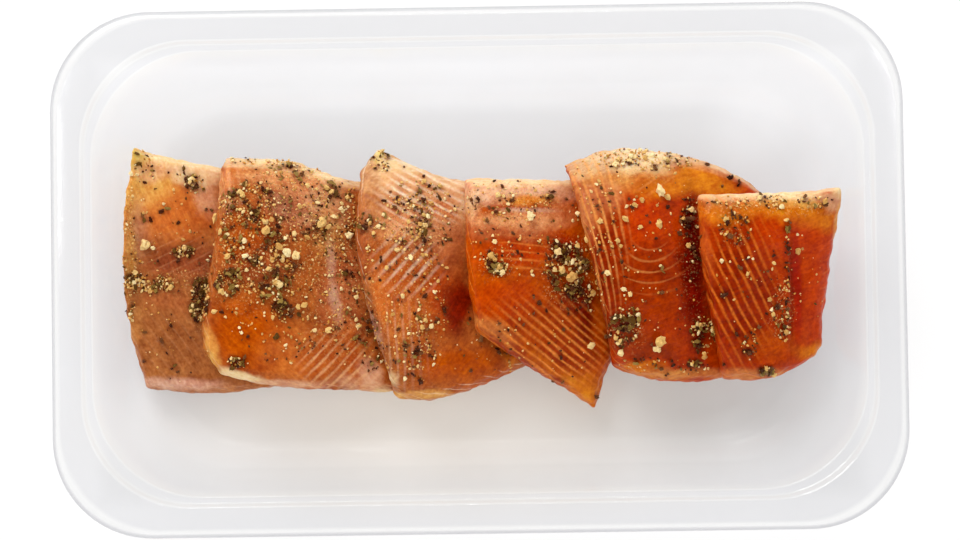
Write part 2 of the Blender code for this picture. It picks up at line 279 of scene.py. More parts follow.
def clearTrayPlastic(floorInset):
    # Thermoformed PET: clear with a faint milky haze and slow waves. The rim is thick and glossy, with its
    # grey cut edge as painted shade and its bright rolled lip as a painted highlight; the drawn walls are
    # thin and duller, and lamps shine through it
    material, tree, shader, place = newMaterial("clearTrayPlastic")
    t, p = trayDesign, trayPlastic
    inset = addNode(tree, "Attribute", attribute_name="rimInset").outputs["Fac"]
    waveSize, waveDepth = p["waves"]
    waves = addNode(tree, "TexNoise", {"Vector": place, "Scale": 1 / waveSize, "Detail": 1.0})
    grain = addNode(tree, "TexNoise", {"Vector": place, "Scale": 1 / p["grain"], "Detail": 3.0})
    coarse = addNode(tree, "Bump", {"Height": waves, "Strength": 0.6, "Distance": waveDepth})
    wallTop = trayWallTop()
    rimEnd = {"From Min": wallTop - p["drawnFrom"], "From Max": wallTop + p["drawnFrom"]}
    drawn = addNode(tree, "MapRange", {"Value": inset, **rimEnd})
    dullness = {"To Min": p["dullness"][0], "To Max": p["dullness"][1]}
    dull = addNode(tree, "MapRange", {"Value": drawn, **dullness})
    smeared = {0: grain, 1: p["smear"], 2: dull}
    smear = addNode(tree, "Math", smeared, operation="MULTIPLY_ADD")
    haze = {**noiseSpan, "To Min": p["haze"][0], "To Max": p["haze"][1]}
    cloud = addNode(tree, "MapRange", {"Value": waves, **haze})
    setInputs(tree, shader, {"Base Color": linear("#F6F6F6"), "Roughness": 0.4, "IOR": 1.5})
    flangeEnd = t["lipWidth"] + t["flange"]
    stepEnd = flangeEnd + t["stepRun"]
    # painted along the profile: the darker cut edge is painted shade, and the bright lip and the bright
    # lines at the step and at the wall's top are painted highlights
    tints = [  # what one face lets through, from the cut edge to the floor
        (0.0, "#E6E6E8"),
        (0.3 * mm, "#EAEAEC"),
        (0.75 * mm, "#F9F9F9"),
        (1.7 * mm, "#FCFCFC"),
        (2.5 * mm, "#F6F6F7"),
        (flangeEnd - 0.3 * mm, "#F6F6F7"),
        (flangeEnd + 0.2 * mm, "#F9F9F9"),
        (stepEnd, "#F8F8F8"),
        (stepEnd + 0.5 * mm, "#F8F8F9"),
        (wallTop - 0.5 * mm, "#F8F8F9"),
        (wallTop + 0.2 * mm, "#FAFAFA"),
        (wallTop + 2 * mm, "#F7F7F8"),
        (floorInset - 1.6 * mm, "#F7F7F8"),
        (floorInset - 0.4 * mm, "#F6F6F7"),
    ]
    stops = [(at / floorInset, linear(code)) for at, code in tints]
    along = addNode(tree, "Math", {0: inset, 1: floorInset}, operation="DIVIDE")
    tint = addNode(tree, "ValToRGB", {0: along}, ramp=stops)
    clear = addNode(tree, "BsdfTransparent", {"Color": tint})
    mirror = addNode(tree, "BsdfGlossy", {"Roughness": smear, "Normal": coarse})
    slant = addNode(tree, "LayerWeight", {"Blend": 0.5, "Normal": coarse}).outputs["Facing"]
    steep = addNode(tree, "Math", {0: slant, 1: p["edgePower"]}, operation="POWER")
    rimLeast, wallLeast, most = p["mirrored"]
    least = addNode(tree, "MapRange", {"Value": drawn, "To Min": rimLeast, "To Max": wallLeast})
    between = {"To Min": least, "To Max": most}
    mirrored = addNode(tree, "MapRange", {"Value": steep, **between})
    backs = addNode(tree, "NewGeometry").outputs["Backfacing"]
    outside = addNode(tree, "Math", {0: 1.0, 1: backs}, operation="SUBTRACT")
    share = addNode(tree, "Math", {0: mirrored, 1: outside}, operation="MULTIPLY")
    glossy = addNode(tree, "MixShader", {0: share, 1: clear, 2: mirror})
    seen = addNode(tree, "MixShader", {0: cloud, 1: glossy, 2: shader})
    rays = addNode(tree, "LightPath").outputs
    through = {0: rays["Is Shadow Ray"], 1: rays["Is Diffuse Ray"]}
    passes = addNode(tree, "Math", through, operation="MAXIMUM")
    sheet = addNode(tree, "BsdfTransparent", {"Color": linear("#F7F7F7")})
    both = addNode(tree, "MixShader", {0: passes, 1: seen, 2: sheet})
    setInputs(tree, tree.nodes["Material Output"], {"Surface": both})
    return material


def makeTray():
    profile, floorInset = trayProfile()
    firstRing = roundedRing(profile[0].x, floorInset)
    shell = bmesh.new()
    insets = shell.verts.layers.float.new("rimInset")
    bmesh.ops.create_circle(shell, segments=len(firstRing), radius=trayHigh.x)
    ring = list(shell.verts)
    edges = list(shell.edges)
    for number, spot in enumerate(profile):
        if number:
            grown = bmesh.ops.extrude_edge_only(shell, edges=edges)["geom"]
            ring = [item for item in grown if isinstance(item, bmesh.types.BMVert)]
            edges = [item for item in grown if isinstance(item, bmesh.types.BMEdge)]
            edges = [edge for edge in edges if len(edge.link_faces) == 1]
        for vertex, point in zip(ring, roundedRing(spot.x, floorInset)):
            vertex.co = (point.x, point.y, spot.y)
            vertex[insets] = spot.x
    bmesh.ops.contextual_create(shell, geom=edges)
    bmesh.ops.recalc_face_normals(shell, faces=shell.faces)
    piece = newPiece("clearTray", shell, clearTrayPlastic(floorInset))
    facesUp = max(piece.data.polygons, key=lambda face: face.area).normal.z > 0
    wall = piece.modifiers.new("wall", "SOLIDIFY")
    wall.thickness = trayDesign["wall"]
    wall.offset = -1.0 if facesUp else 1.0
    wall.use_even_offset = True
    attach(piece, "root")
    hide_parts("tray")


makeTray()
print("tray made")

# The salmon

fleshColours = {
    "ivory": "#FCE8C4",
    "cream": "#F4D49C",
    "peach": "#E8B088",
    "gold": "#DC9850",
    "paleGold": "#E6A650",
    "litYellow": "#F2D868",
    "litOrange": "#DE8014",
    "paleFlesh": "#E8A068",
    "pinkRim": "#E0A88C",
    # a painted highlight: the greyish pink sheen of wet flesh
    "sheen": "#D8AA8C",
    "lilac": "#AC7C64",
    "rosy": "#BC6438",
    "salmon": "#CC6A28",
    "tan": "#AE6634",
    "warmTan": "#AA5620",
    "brownTan": "#985A30",
    "brick": "#9C4A28",
    "bareOrange": "#B84C00",
    "wetOrange": "#B44600",
    "deepOrange": "#B43600",
    "redOrange": "#C83C00",
    "glowOrange": "#C43C00",
    "umber": "#963000",
    "hollowRed": "#801400",
    "darkRed": "#740800",
    "seamRed": "#A01800",
}

# Each slice: the colours of its fat lines and of the flesh between them, pulls on its outline as (pixel,
# reach in pixels, shift in millimetres), its ground colour, patches of other colours as (colour, centre,
# radii, turn, strength), dusty places as (centre, radii, turn, strength) and its runs of fat lines. A run
# starts at one pixel, heads for another and fades out past its reach round a centre. Its gap and its bow in
# 20 mm are in millimetres, its fan is how much the gap grows in 10 mm, and a ring bends it round a pixel.
# Wide is the width of its lines as a share of the gap, and show is how strongly they show.
slice1 = {
    "line": "#E8AE7C",
    "between": "#B05C24",
    "pulls": [((122, 330), 50, (-0.7, 0.0)), ((134, 150), 16, (-0.3, 0.5))],
    "ground": "tan",
    "patches": [
        ("salmon", (180, 210), (52, 36), 8, 0.9),
        ("brick", (185, 262), (46, 22), 0, 0.85),
        ("rosy", (165, 300), (26, 12), 0, 0.35),
        # painted shade: darker brown low on the slice, beside slice 2's raised edge
        ("brownTan", (190, 352), (40, 36), 0, 0.4),
        # painted light: pale gold and peach round the back-left corner and down the left edge, as if lit
        # through the thin edge
        ("paleGold", (142, 178), (34, 34), 25, 0.9),
        ("peach", (136, 226), (16, 30), 0, 0.3),
        ("paleGold", (127, 225), (8, 70), -2, 0.6),
        ("gold", (134, 340), (8, 46), 8, 0.35),
        # painted back light: peach and cream along the back edge
        ("peach", (190, 168), (36, 15), 10, 0.85),
        ("cream", (178, 162), (40, 6), 9, 0.6),
        ("peach", (208, 192), (12, 26), 0, 0.5),
        ("litYellow", (134, 156), (14, 12), 30, 0.6),
        # painted back light at the back-left corner
        ("peach", (148, 172), (16, 12), 0, 0.5),
        # pale front rim: painted light through the thin edge, on the edge's own paler colour
        ("pinkRim", (178, 383), (46, 6), 2, 0.9),
        # painted back light along the back edge
        ("cream", (194, 177), (28, 11), 8, 0.55),
    ],
    "dust": [
        ((128, 250), (12, 100), 0, 0.6), ((160, 282), (44, 12), 0, 0.8), ((200, 300), (16, 34), 0, 1.0),
    ],
    "grains": [
        {"from": (150, 262), "to": (205, 238), "gap": 2.4, "bow": 1.5,
         "at": (182, 255), "reach": (40, 26), "show": 0.22},
        {"from": (150, 310), "to": (190, 372), "gap": 2.4, "bow": 1.5,
         "at": (170, 345), "reach": (34, 40), "show": 0.18},
    ],
}

slice2 = {
    "line": "#F2BC84",
    "between": "#C0662C",
    "pulls": [((386, 390), 22, (0.6, -1.2)), ((330, 168), 26, (0.2, 0.4))],
    "ground": "warmTan",
    "patches": [
        ("bareOrange", (246, 245), (26, 34), 0, 0.7),
        ("rosy", (285, 212), (40, 26), 0, 0.5),
        ("lilac", (282, 205), (22, 16), 0, 0.4),
        ("brick", (256, 266), (38, 22), 0, 0.6),
        ("rosy", (342, 300), (22, 60), 0, 0.8),
        # painted highlight: a greyish pink sheen down the right side, where the slice bends down
        ("sheen", (331, 258), (5, 24), -4, 0.6),
        ("sheen", (337, 306), (6, 26), -8, 0.7),
        ("bareOrange", (245, 335), (46, 40), 0, 0.97),
        ("salmon", (310, 356), (52, 30), 0, 0.75),
        ("salmon", (236, 178), (20, 18), 0, 0.9),
        ("litOrange", (268, 178), (40, 12), 4, 0.6),
        # painted back light: cream and peach along the back edge
        ("cream", (270, 160), (60, 6), 4, 0.75),
        ("peach", (322, 172), (26, 12), 20, 0.7),
        ("peach", (268, 180), (34, 10), 4, 0.35),
        ("paleFlesh", (318, 190), (34, 22), 12, 0.9),
        ("paleFlesh", (226, 192), (12, 22), 0, 0.5),
        ("peach", (352, 384), (22, 10), 0, 0.6),
        ("peach", (322, 210), (30, 20), 10, 0.5),
        # painted light: pale gold on the lower left edge, as if lit through the thin edge
        ("paleGold", (212, 350), (7, 28), -20, 0.85),
        # pale front rims: painted light through the thin edge, on the edge's own paler colour
        ("cream", (232, 375), (34, 7), 12, 0.9),
        ("cream", (382, 389), (22, 7), 8, 0.7),
        ("peach", (290, 384), (50, 4), 0, 0.6),
        ("salmon", (352, 352), (14, 44), -16, 0.8),
        ("peach", (366, 372), (12, 14), -20, 0.9),
        ("wetOrange", (300, 204), (14, 12), 0, 0.4),
        ("gold", (328, 226), (18, 32), 0, 0.6),
        ("warmTan", (250, 180), (18, 12), 0, 0.4),
        # painted back light on the back edge
        ("cream", (326, 177), (18, 9), 10, 0.5),
    ],
    "dust": [
        ((280, 225), (74, 76), 0, 1.0), ((240, 270), (34, 46), 0, 0.55), ((336, 300), (34, 76), 0, 0.6),
    ],
    "grains": [
        {"from": (322, 384), "to": (354, 352), "gap": 2.1, "bow": 1.0, "wide": 0.3,
         "at": (336, 362), "reach": (38, 34), "show": 0.8},
        {"from": (228, 165), "to": (230, 215), "gap": 2.6, "bow": 0.4, "wide": 0.3,
         "at": (232, 185), "reach": (14, 30), "show": 0.5},
        {"from": (300, 190), "to": (350, 225), "gap": 2.2, "bow": 1.5,
         "at": (326, 208), "reach": (26, 26), "show": 0.45},
    ],
}

slice3 = {
    "line": "#FFECCC",
    "backLitCream": 0.25,
    "between": "#C46026",
    "pulls": [((376, 156), 20, (-0.9, 0.9)), ((360, 172), 13, (-1.2, 0.0)), ((400, 392), 16, (-0.8, 0.0))],
    "ground": "warmTan",
    "patches": [
        ("paleFlesh", (412, 200), (58, 46), 20, 0.95),
        ("cream", (400, 182), (34, 20), 25, 0.5),
        ("brick", (366, 262), (10, 52), 0, 0.55),
        ("paleFlesh", (400, 240), (18, 14), 0, 0.4),
        ("salmon", (398, 306), (38, 62), 0, 0.9),
        ("wetOrange", (440, 300), (30, 44), 0, 0.35),
        ("gold", (396, 350), (12, 40), 0, 0.15),
        ("rosy", (448, 246), (18, 26), 0, 0.6),
        ("brownTan", (368, 305), (8, 30), 0, 0.7),
        ("redOrange", (442, 300), (12, 30), 0, 0.4),
        # deep red flesh and painted shade in the hollow beside slice 4's raised edge
        ("hollowRed", (460, 303), (16, 36), 0, 0.97),
        ("bareOrange", (456, 366), (56, 22), 0, 0.95),
        # painted reflection: a greyish lilac sheen on the lower left
        ("lilac", (372, 340), (9, 36), -14, 0.9),
        ("brownTan", (386, 355), (7, 34), -12, 0.5),
        ("cream", (384, 378), (14, 8), 0, 0.7),
        ("litYellow", (380, 154), (12, 11), 0, 1.0),
        # painted back light: cream along the back edge
        ("cream", (420, 172), (50, 7), 18, 0.8),
        ("paleFlesh", (450, 200), (16, 18), 0, 0.6),
        ("cream", (446, 192), (18, 10), 0, 0.4),
        # pale front rim: painted light through the thin edge, on the edge's own paler colour
        ("paleGold", (415, 395), (50, 5), 0, 0.75),
        ("tan", (371, 189), (14, 30), 0, 0.9),
        ("cream", (459, 204), (8, 14), 0, 0.6),
        ("litOrange", (512, 352), (14, 10), 0, 0.6),
        ("paleFlesh", (398, 228), (16, 14), 0, 0.4),
    ],
    "dust": [((418, 220), (44, 40), 0, 0.7), ((400, 300), (46, 92), 0, 0.5)],
    "grains": [
        {"from": (392, 170), "to": (455, 212), "gap": 1.9, "bow": 1.4, "wide": 0.42,
         "at": (424, 194), "reach": (46, 32), "show": 1.0},
        {"from": (396, 272), "to": (420, 248), "gap": 2.5, "bow": 1.0, "wide": 0.34,
         "at": (408, 262), "reach": (32, 34), "show": 0.75},
        {"from": (388, 330), "to": (392, 390), "gap": 2.0, "bow": 0.4, "wide": 0.3,
         "at": (404, 345), "reach": (26, 50), "show": 0.22},
    ],
}

slice4 = {
    "line": "#F6963C",
    "between": "#BE3E00",
    "pulls": [((597, 402), 14, (0.2, -0.6))],
    "ground": "wetOrange",
    "patches": [
        # painted back light: peach and cream along the back edge
        ("peach", (515, 188), (64, 16), 0, 0.95),
        ("cream", (520, 178), (60, 5), 0, 0.5),
        ("litOrange", (526, 200), (28, 6), 0, 0.85),
        ("rosy", (506, 228), (46, 14), 0, 0.8),
        ("paleFlesh", (516, 220), (48, 9), 0, 0.75),
        ("paleFlesh", (556, 214), (20, 12), 0, 0.3),
        # painted highlight: a greyish pink sheen along a crease
        ("sheen", (526, 210), (32, 2.5), 1, 0.7),
        ("redOrange", (512, 254), (44, 14), 0, 0.6),
        ("redOrange", (506, 302), (36, 22), 0, 0.5),
        ("seamRed", (566, 244), (16, 16), 0, 0.8),
        # deep red flesh and painted shade in the hollow beside slice 5's raised edge
        ("hollowRed", (582, 308), (12, 36), 0, 0.95),
        ("gold", (492, 330), (30, 10), 28, 0.55),
        ("litOrange", (588, 390), (18, 18), 0, 0.7),
        ("litOrange", (560, 372), (34, 8), 35, 0.9),
        ("cream", (474, 204), (9, 16), 0, 0.4),
        ("tan", (564, 183), (11, 10), 0, 0.6),
        ("hollowRed", (566, 300), (14, 16), 0, 0.6),
    ],
    "dust": [
        ((510, 205), (56, 30), 0, 0.7), ((568, 270), (28, 36), 0, 0.9), ((496, 264), (18, 16), 0, 0.8),
    ],
    "grains": [
        {"from": (505, 303), "to": (590, 378), "gap": 2.1, "bow": 0.4, "fan": -0.06, "wide": 0.36,
         "at": (545, 345), "reach": (76, 46), "show": 1.0},
        {"from": (500, 250), "to": (560, 256), "gap": 2.1, "bow": 0.5, "wide": 0.24,
         "at": (528, 254), "reach": (36, 22), "show": 0.6},
    ],
}

slice5 = {
    "line": "#F0A050",
    "between": "#A43600",
    "pulls": [((570, 172), 16, (-0.7, 0.9))],
    "ground": "deepOrange",
    "patches": [
        ("salmon", (592, 200), (28, 44), 25, 0.95),
        ("gold", (584, 178), (16, 14), 25, 0.7),
        ("paleFlesh", (586, 210), (12, 34), -14, 0.5),
        ("hollowRed", (606, 300), (16, 66), 0, 0.55),
        # painted back light: pale gold, cream and ivory along the back edge
        ("paleGold", (610, 172), (40, 18), 0, 0.7),
        ("cream", (624, 156), (58, 17), 0, 1.0),
        ("ivory", (636, 157), (46, 9), 3, 0.8),
        ("paleGold", (664, 171), (24, 8), 8, 0.6),
        ("cream", (656, 166), (20, 8), 10, 0.7),
        ("litOrange", (660, 184), (30, 14), 0, 0.8),
        ("litOrange", (702, 182), (38, 18), 15, 0.95),
        ("redOrange", (646, 218), (20, 28), 0, 0.85),
        ("umber", (650, 290), (42, 56), 0, 0.55),
        # deep red flesh and painted shade in the hollow beside slice 6's raised edge
        ("hollowRed", (692, 276), (15, 82), 0, 0.95),
        ("darkRed", (693, 262), (11, 78), -4, 0.9),
        ("umber", (646, 345), (34, 16), 0, 0.8),
        ("litOrange", (640, 366), (24, 6), 0, 0.6),
        # pale front rim: painted light through the thin edge, on the edge's own paler colour
        ("paleGold", (675, 374), (60, 6), 0, 0.45),
        ("paleFlesh", (604, 194), (13, 20), -20, 0.45),
    ],
    "dust": [
        ((620, 162), (64, 20), 0, 0.5), ((625, 328), (20, 22), 0, 0.9), ((692, 250), (14, 80), 0, 0.3),
    ],
    "grains": [
        {"from": (583, 180), "to": (611, 248), "gap": 2.35, "bow": -1.6, "fan": -0.1, "wide": 0.32,
         "at": (596, 226), "reach": (32, 110), "show": 0.95},
        {"from": (650, 230), "to": (670, 230), "ring": (650, 228), "gap": 3.0, "bow": 0, "wide": 0.16,
         "at": (652, 268), "reach": (34, 26), "show": 0.6},
        {"from": (636, 192), "to": (668, 168), "gap": 2.6, "bow": 0.4, "wide": 0.3,
         "at": (652, 178), "reach": (26, 18), "show": 0.5},
    ],
}

slice6 = {
    "line": "#E87822",
    "between": "#A82C00",
    "pulls": [((834, 300), 70, (0.4, 0.0)), ((838, 192), 12, (0.3, 0.4))],
    "ground": "deepOrange",
    "patches": [
        ("hollowRed", (740, 300), (38, 66), 0, 0.38),
        ("litOrange", (752, 207), (66, 15), 0, 1.0),
        # painted back light: pale gold along the back edge
        ("paleGold", (785, 203), (46, 5), 0, 0.6),
        ("redOrange", (780, 234), (36, 22), 0, 0.8),
        ("salmon", (706, 250), (7, 34), -10, 0.4),
        # painted shade down the left edge, on deep red flesh
        ("hollowRed", (706, 292), (8, 34), -8, 0.5),
        ("bareOrange", (770, 345), (30, 18), 0, 0.5),
        ("glowOrange", (818, 285), (18, 84), 0, 0.95),
        # deep red flesh and painted shade in the seam's groove
        ("seamRed", (796, 285), (5, 66), 0, 1.0),
        ("darkRed", (791, 296), (2, 56), 0, 0.6),
        ("litOrange", (814, 352), (22, 9), 0, 0.8),
        ("litOrange", (825, 215), (12, 16), 0, 0.6),
        ("litOrange", (796, 216), (26, 12), 0, 0.5),
        # painted back light: pale gold and cream along the back edge
        ("paleGold", (762, 203), (72, 5), 0, 0.6),
        ("cream", (760, 196), (74, 5), 0, 0.9),
        ("cream", (836, 192), (8, 6), 0, 0.9),
        ("paleGold", (836, 240), (4, 70), 6, 0.7),
        # pale front rim: painted light through the thin edge, on the edge's own paler colour
        ("gold", (758, 374), (46, 6), 0, 0.55),
        ("peach", (830, 200), (12, 10), 0, 0.6),
        ("wetOrange", (732, 206), (16, 8), 0, 0.35),
    ],
    "dust": [
        ((765, 204), (74, 12), 0, 0.7), ((782, 312), (12, 34), 0, 0.7), ((738, 230), (20, 18), 0, 0.5),
    ],
    "grains": [
        {"from": (712, 205), "to": (764, 340), "gap": 2.2, "bow": 0.7, "wide": 0.3,
         "at": (736, 284), "reach": (42, 90), "show": 0.95},
        {"from": (705, 198), "to": (728, 216), "gap": 2.4, "bow": 0.3, "wide": 0.34,
         "at": (732, 206), "reach": (46, 12), "show": 0.9},
    ],
    # a groove between the top and the bevelled side: its ends, depth, and how fast it rises again and falls
    "seam": {"from": (789, 212), "to": (788, 366), "step": 1.0 * mm, "run": 3.4 * mm, "edge": 0.8 * mm},
}

slices = (slice1, slice2, slice3, slice4, slice5, slice6)

fleshDesign = {
    "weld": 0.01 * mm,
    "voxel": 0.48 * mm,
    "smoothings": 5,
    "swell": (0.5 * mm, 15 * mm),  # each relief: its height and the size of its bumps
    "dimple": (0.22 * mm, 5 * mm),
    "ripple": (0.07 * mm, 1.6 * mm),
    "ragged": (0.4 * mm, 2.6 * mm),  # on the cut sides
    "fibre": (0.08 * mm, (5.0 * mm, 0.8 * mm, 1.2 * mm)),  # its length, width and depth
    "groove": 0.16 * mm,  # at a fat line
    "settle": 0.55 * mm,  # how far the undersides sink to meet the tray's floor
    "settleFrom": (3.0 * mm, 2.0 * mm),  # below this height, and in full this much lower
    "clearance": 0.03 * mm,  # left between the slices and the floor
    "lineWidth": 0.2,  # of a fat line, as a share of the gap between two
    "lineBend": (0.18, 9 * mm),  # how far they wander, as a share of the gap, and the size of their bends
    "linePatch": 6 * mm,  # size of the stretches where they are strong or faint
    "bowLength": 20 * mm,
    "fanLength": 10 * mm,
    "fanLimits": (0.4, 1.6),
    "spotEnd": 1.35,  # where a spot of colour has faded out, in radii: it is full up to 1 less
    "strays": ((9, 9 * mm), (4, 2.5 * mm)),  # how many pixels a spot's edge strays, and over what size
    "narrow": 14,  # a spot with a radius of fewer pixels strays less
    "backLitCream": 0.6,  # how much painted back light, in cream, shows on faces turned to the back
}

sideFlakes = {
    "slope": (0.75, 0.75, 1.0),  # the lines stand across this direction
    "gap": 4.2 * mm,
    "bend": 9 * mm,  # size of their bends
    "wobble": 0.6,
    "wide": 0.13,  # as a share of the gap
    "show": 0.5,
    "steepest": 0.75,  # they end where a face is turned up or down by more than this
}
lineLetters = "ABCD"  # three runs on top and the flakes on the sides


def spotWeight(pixels, centre, radii, turn):  # 1 in an ellipse's middle, fading to 0 past its edge
    away = pixels - np.array(centre)
    angle = math.radians(turn)
    along = away[:, 0] * math.cos(angle) + away[:, 1] * math.sin(angle)
    across = away[:, 1] * math.cos(angle) - away[:, 0] * math.sin(angle)
    return smoothStep(fleshDesign["spotEnd"] - np.hypot(along / radii[0], across / radii[1]))


def grainField(points, pixels, run, seed):
    # (phase, strength, width): the phase counts fat lines across the run, and the strength fades out round
    # its centre
    d = fleshDesign
    start = np.array(run["from"], float)
    heading = np.array(run["to"], float) - start
    heading /= np.linalg.norm(heading)
    away = (pixels - start) * pixelSize
    along = away @ heading
    across = away @ np.array([-heading[1], heading[0]])
    bow = run["bow"] * mm * (along / d["bowLength"]) ** 2
    wander, bend = d["lineBend"]
    wobble = wander * bumpy(points, bend, seed)
    gap = run["gap"] * mm * np.clip(1 + run.get("fan", 0) * along / d["fanLength"], *d["fanLimits"])
    if "ring" in run:  # arcs round a centre
        across = np.hypot(*(pixels - np.array(run["ring"])).T) * pixelSize
    phase = (across + bow) / gap + wobble
    patchy = 0.75 + 0.5 * bumpy(points, d["linePatch"], seed + 3)
    strength = spotWeight(pixels, run["at"], run["reach"], 0) * run["show"] * np.clip(patchy, 0, 1)
    return phase, strength, np.full(len(points), run.get("wide", d["lineWidth"]))


def flakeField(points, normals, seed):
    # the flakes of muscle show on the cut sides as slanting fat lines
    f = sideFlakes
    side = smoothStep((f["steepest"] - np.abs(normals[:, 2])) * 4)
    slope = points @ np.array(f["slope"])
    phase = slope / f["gap"] + f["wobble"] * bumpy(points, f["bend"], seed + 17)
    patchy = np.clip(0.7 + 0.9 * bumpy(points, f["bend"], seed + 19), 0, 1)
    return phase, side * patchy * f["show"], np.full(len(points), f["wide"])


def lineShape(phase):  # 1 on a fat line, 0 between two
    toLine = np.abs(phase - np.rint(phase))
    return smoothStep(1 - toLine / fleshDesign["lineWidth"])


def fineMesh(name):
    # the CAD slice again as an even fine mesh, with its facets smoothed away
    shape = bmesh.new()
    shape.from_mesh(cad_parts[name].data)
    bmesh.ops.remove_doubles(shape, verts=shape.verts, dist=fleshDesign["weld"])
    coarse = newPiece(name + "_coarse", shape, None)
    remesh = coarse.modifiers.new("remesh", "REMESH")
    remesh.mode = "VOXEL"
    remesh.voxel_size = fleshDesign["voxel"]
    graph = bpy.context.evaluated_depsgraph_get()
    fine = bpy.data.meshes.new_from_object(coarse.evaluated_get(graph))
    bpy.data.objects.remove(coarse)
    shape = bmesh.new()
    shape.from_mesh(fine)
    bpy.data.meshes.remove(fine)
    for _ in range(fleshDesign["smoothings"]):
        bmesh.ops.smooth_vert(
            shape, verts=shape.verts, factor=0.5, use_axis_x=True, use_axis_y=True, use_axis_z=True
        )
    return shape


def seamDrop(pixels, seam):
    # the strip beyond the seam lies lower at first and rises again, and the seam fades out at both ends
    start, end = np.array(seam["from"], float), np.array(seam["to"], float)
    share = (pixels[:, 1] - start[1]) / (end[1] - start[1])
    seamX = start[0] + share * (end[0] - start[0])
    beyond = (pixels[:, 0] - seamX) * pixelSize
    fall = np.where(beyond > 0, np.exp(-np.maximum(beyond, 0) / seam["run"]), 0)
    fall *= smoothStep(0.5 + beyond / seam["edge"])
    return seam["step"] * fall * smoothStep(share * 6) * smoothStep(1.15 - share)


def grainTurn(design):  # the fibres run straight across the first run of fat lines
    run = design["grains"][0]
    lineAngle = math.atan2(run["from"][1] - run["to"][1], run["to"][0] - run["from"][0])
    return lineAngle + math.pi / 2


def fleshRelief(points, normals, design, seed):  # the slice's bumps and fibres
    d = fleshDesign
    relief = 0
    for number, kind in enumerate(("swell", "dimple", "ripple")):
        height, size = d[kind]
        relief = relief + height * bumpy(points, size, seed + number)
    side = smoothStep(1.3 - 1.6 * np.abs(normals[:, 2]))
    height, size = d["ragged"]
    relief += side * height * bumpy(points, size, seed + 5)
    turn = grainTurn(design)
    turned = [[math.cos(turn), -math.sin(turn), 0], [math.sin(turn), math.cos(turn), 0], [0, 0, 1]]
    height, size = d["fibre"]
    return relief + height * bumpy(points @ np.array(turned), size, seed + 11)


def shapeSlice(mesh, design, seed):
    points = readVectors(mesh.vertices, "co")
    normals = readVectors(mesh.vertex_normals, "vector")
    pixels = pixelsOf(points)
    d = fleshDesign
    fields = [grainField(points, pixels, run, seed + 7 + i) for i, run in enumerate(design["grains"])]
    fields += [(np.zeros(len(points)),) * 3] * (3 - len(fields))
    fields.append(flakeField(points, normals, seed))
    relief = fleshRelief(points, normals, design, seed)
    for phase, strength, _ in fields:
        relief -= d["groove"] * strength * lineShape(phase)
    moved = points + normals * relief[:, None]
    for centre, reach, shift in design["pulls"]:
        pull = np.exp(-((np.hypot(*(pixels - np.array(centre)).T) / reach) ** 2))
        moved[:, :2] += pull[:, None] * np.array(shift) * mm
    if "seam" in design:
        upward = smoothStep(normals[:, 2] * 2)
        moved[:, 2] -= seamDrop(pixels, design["seam"]) * upward
    height, fade = d["settleFrom"]
    low = smoothStep((height - points[:, 2]) / fade) * smoothStep(-normals[:, 2] * 2 + 0.6)
    moved[:, 2] -= d["settle"] * low
    moved[:, 2] = np.maximum(moved[:, 2], trayDesign["wall"] + d["clearance"])
    mesh.vertices.foreach_set("co", moved.ravel())
    mesh.update()
    paintSlice(mesh, design, pixels, normals)
    for letter, values in zip(lineLetters, fields):
        for kind, given in zip(("linePhase", "lineShow", "lineWide"), values):
            keepValues(mesh, kind + letter, given)


def paintOver(colour, name, weight):
    weight = weight[:, None]
    return colour * (1 - weight) + np.array(linear(fleshColours[name])[:3]) * weight


def paintSlice(mesh, design, pixels, normals):
    d = fleshDesign
    points = readVectors(mesh.vertices, "co")
    (far, wide), (near, small) = d["strays"]
    broadX, broadY = bumpy(points, wide, 41), bumpy(points, wide, 43)
    fine = bumpy(points, small, 47)
    strays = np.stack([far * broadX + near * fine, far * broadY - near * fine], axis=1)
    colour = np.tile(linear(fleshColours[design["ground"]])[:3], (len(pixels), 1))
    # among the patches are painted light and shade: back light on the edges, highlights, and shade in the
    # hollows
    for name, centre, radii, turn, strength in design["patches"]:
        loose = min(1, min(radii) / d["narrow"])
        colour = paintOver(colour, name, spotWeight(pixels + strays * loose, centre, radii, turn) * strength)
    # painted back light: faces turned to the back are painted cream, as if lit through from behind
    turnedBack = smoothStep((normals[:, 1] - 0.4) * 2)
    colour = paintOver(colour, "cream", turnedBack * design.get("backLitCream", d["backLitCream"]))
    paint = mesh.attributes.new("fleshPaint", "FLOAT_COLOR", "POINT")
    paint.data.foreach_set("color", np.hstack([colour, np.ones((len(colour), 1))]).ravel())
    dust = 0
    for centre, radii, turn, strength in design["dust"]:
        dust = dust + spotWeight(pixels + strays, centre, radii, turn) * strength
    keepValues(mesh, "spiceDust", np.clip(dust, 0, 1))


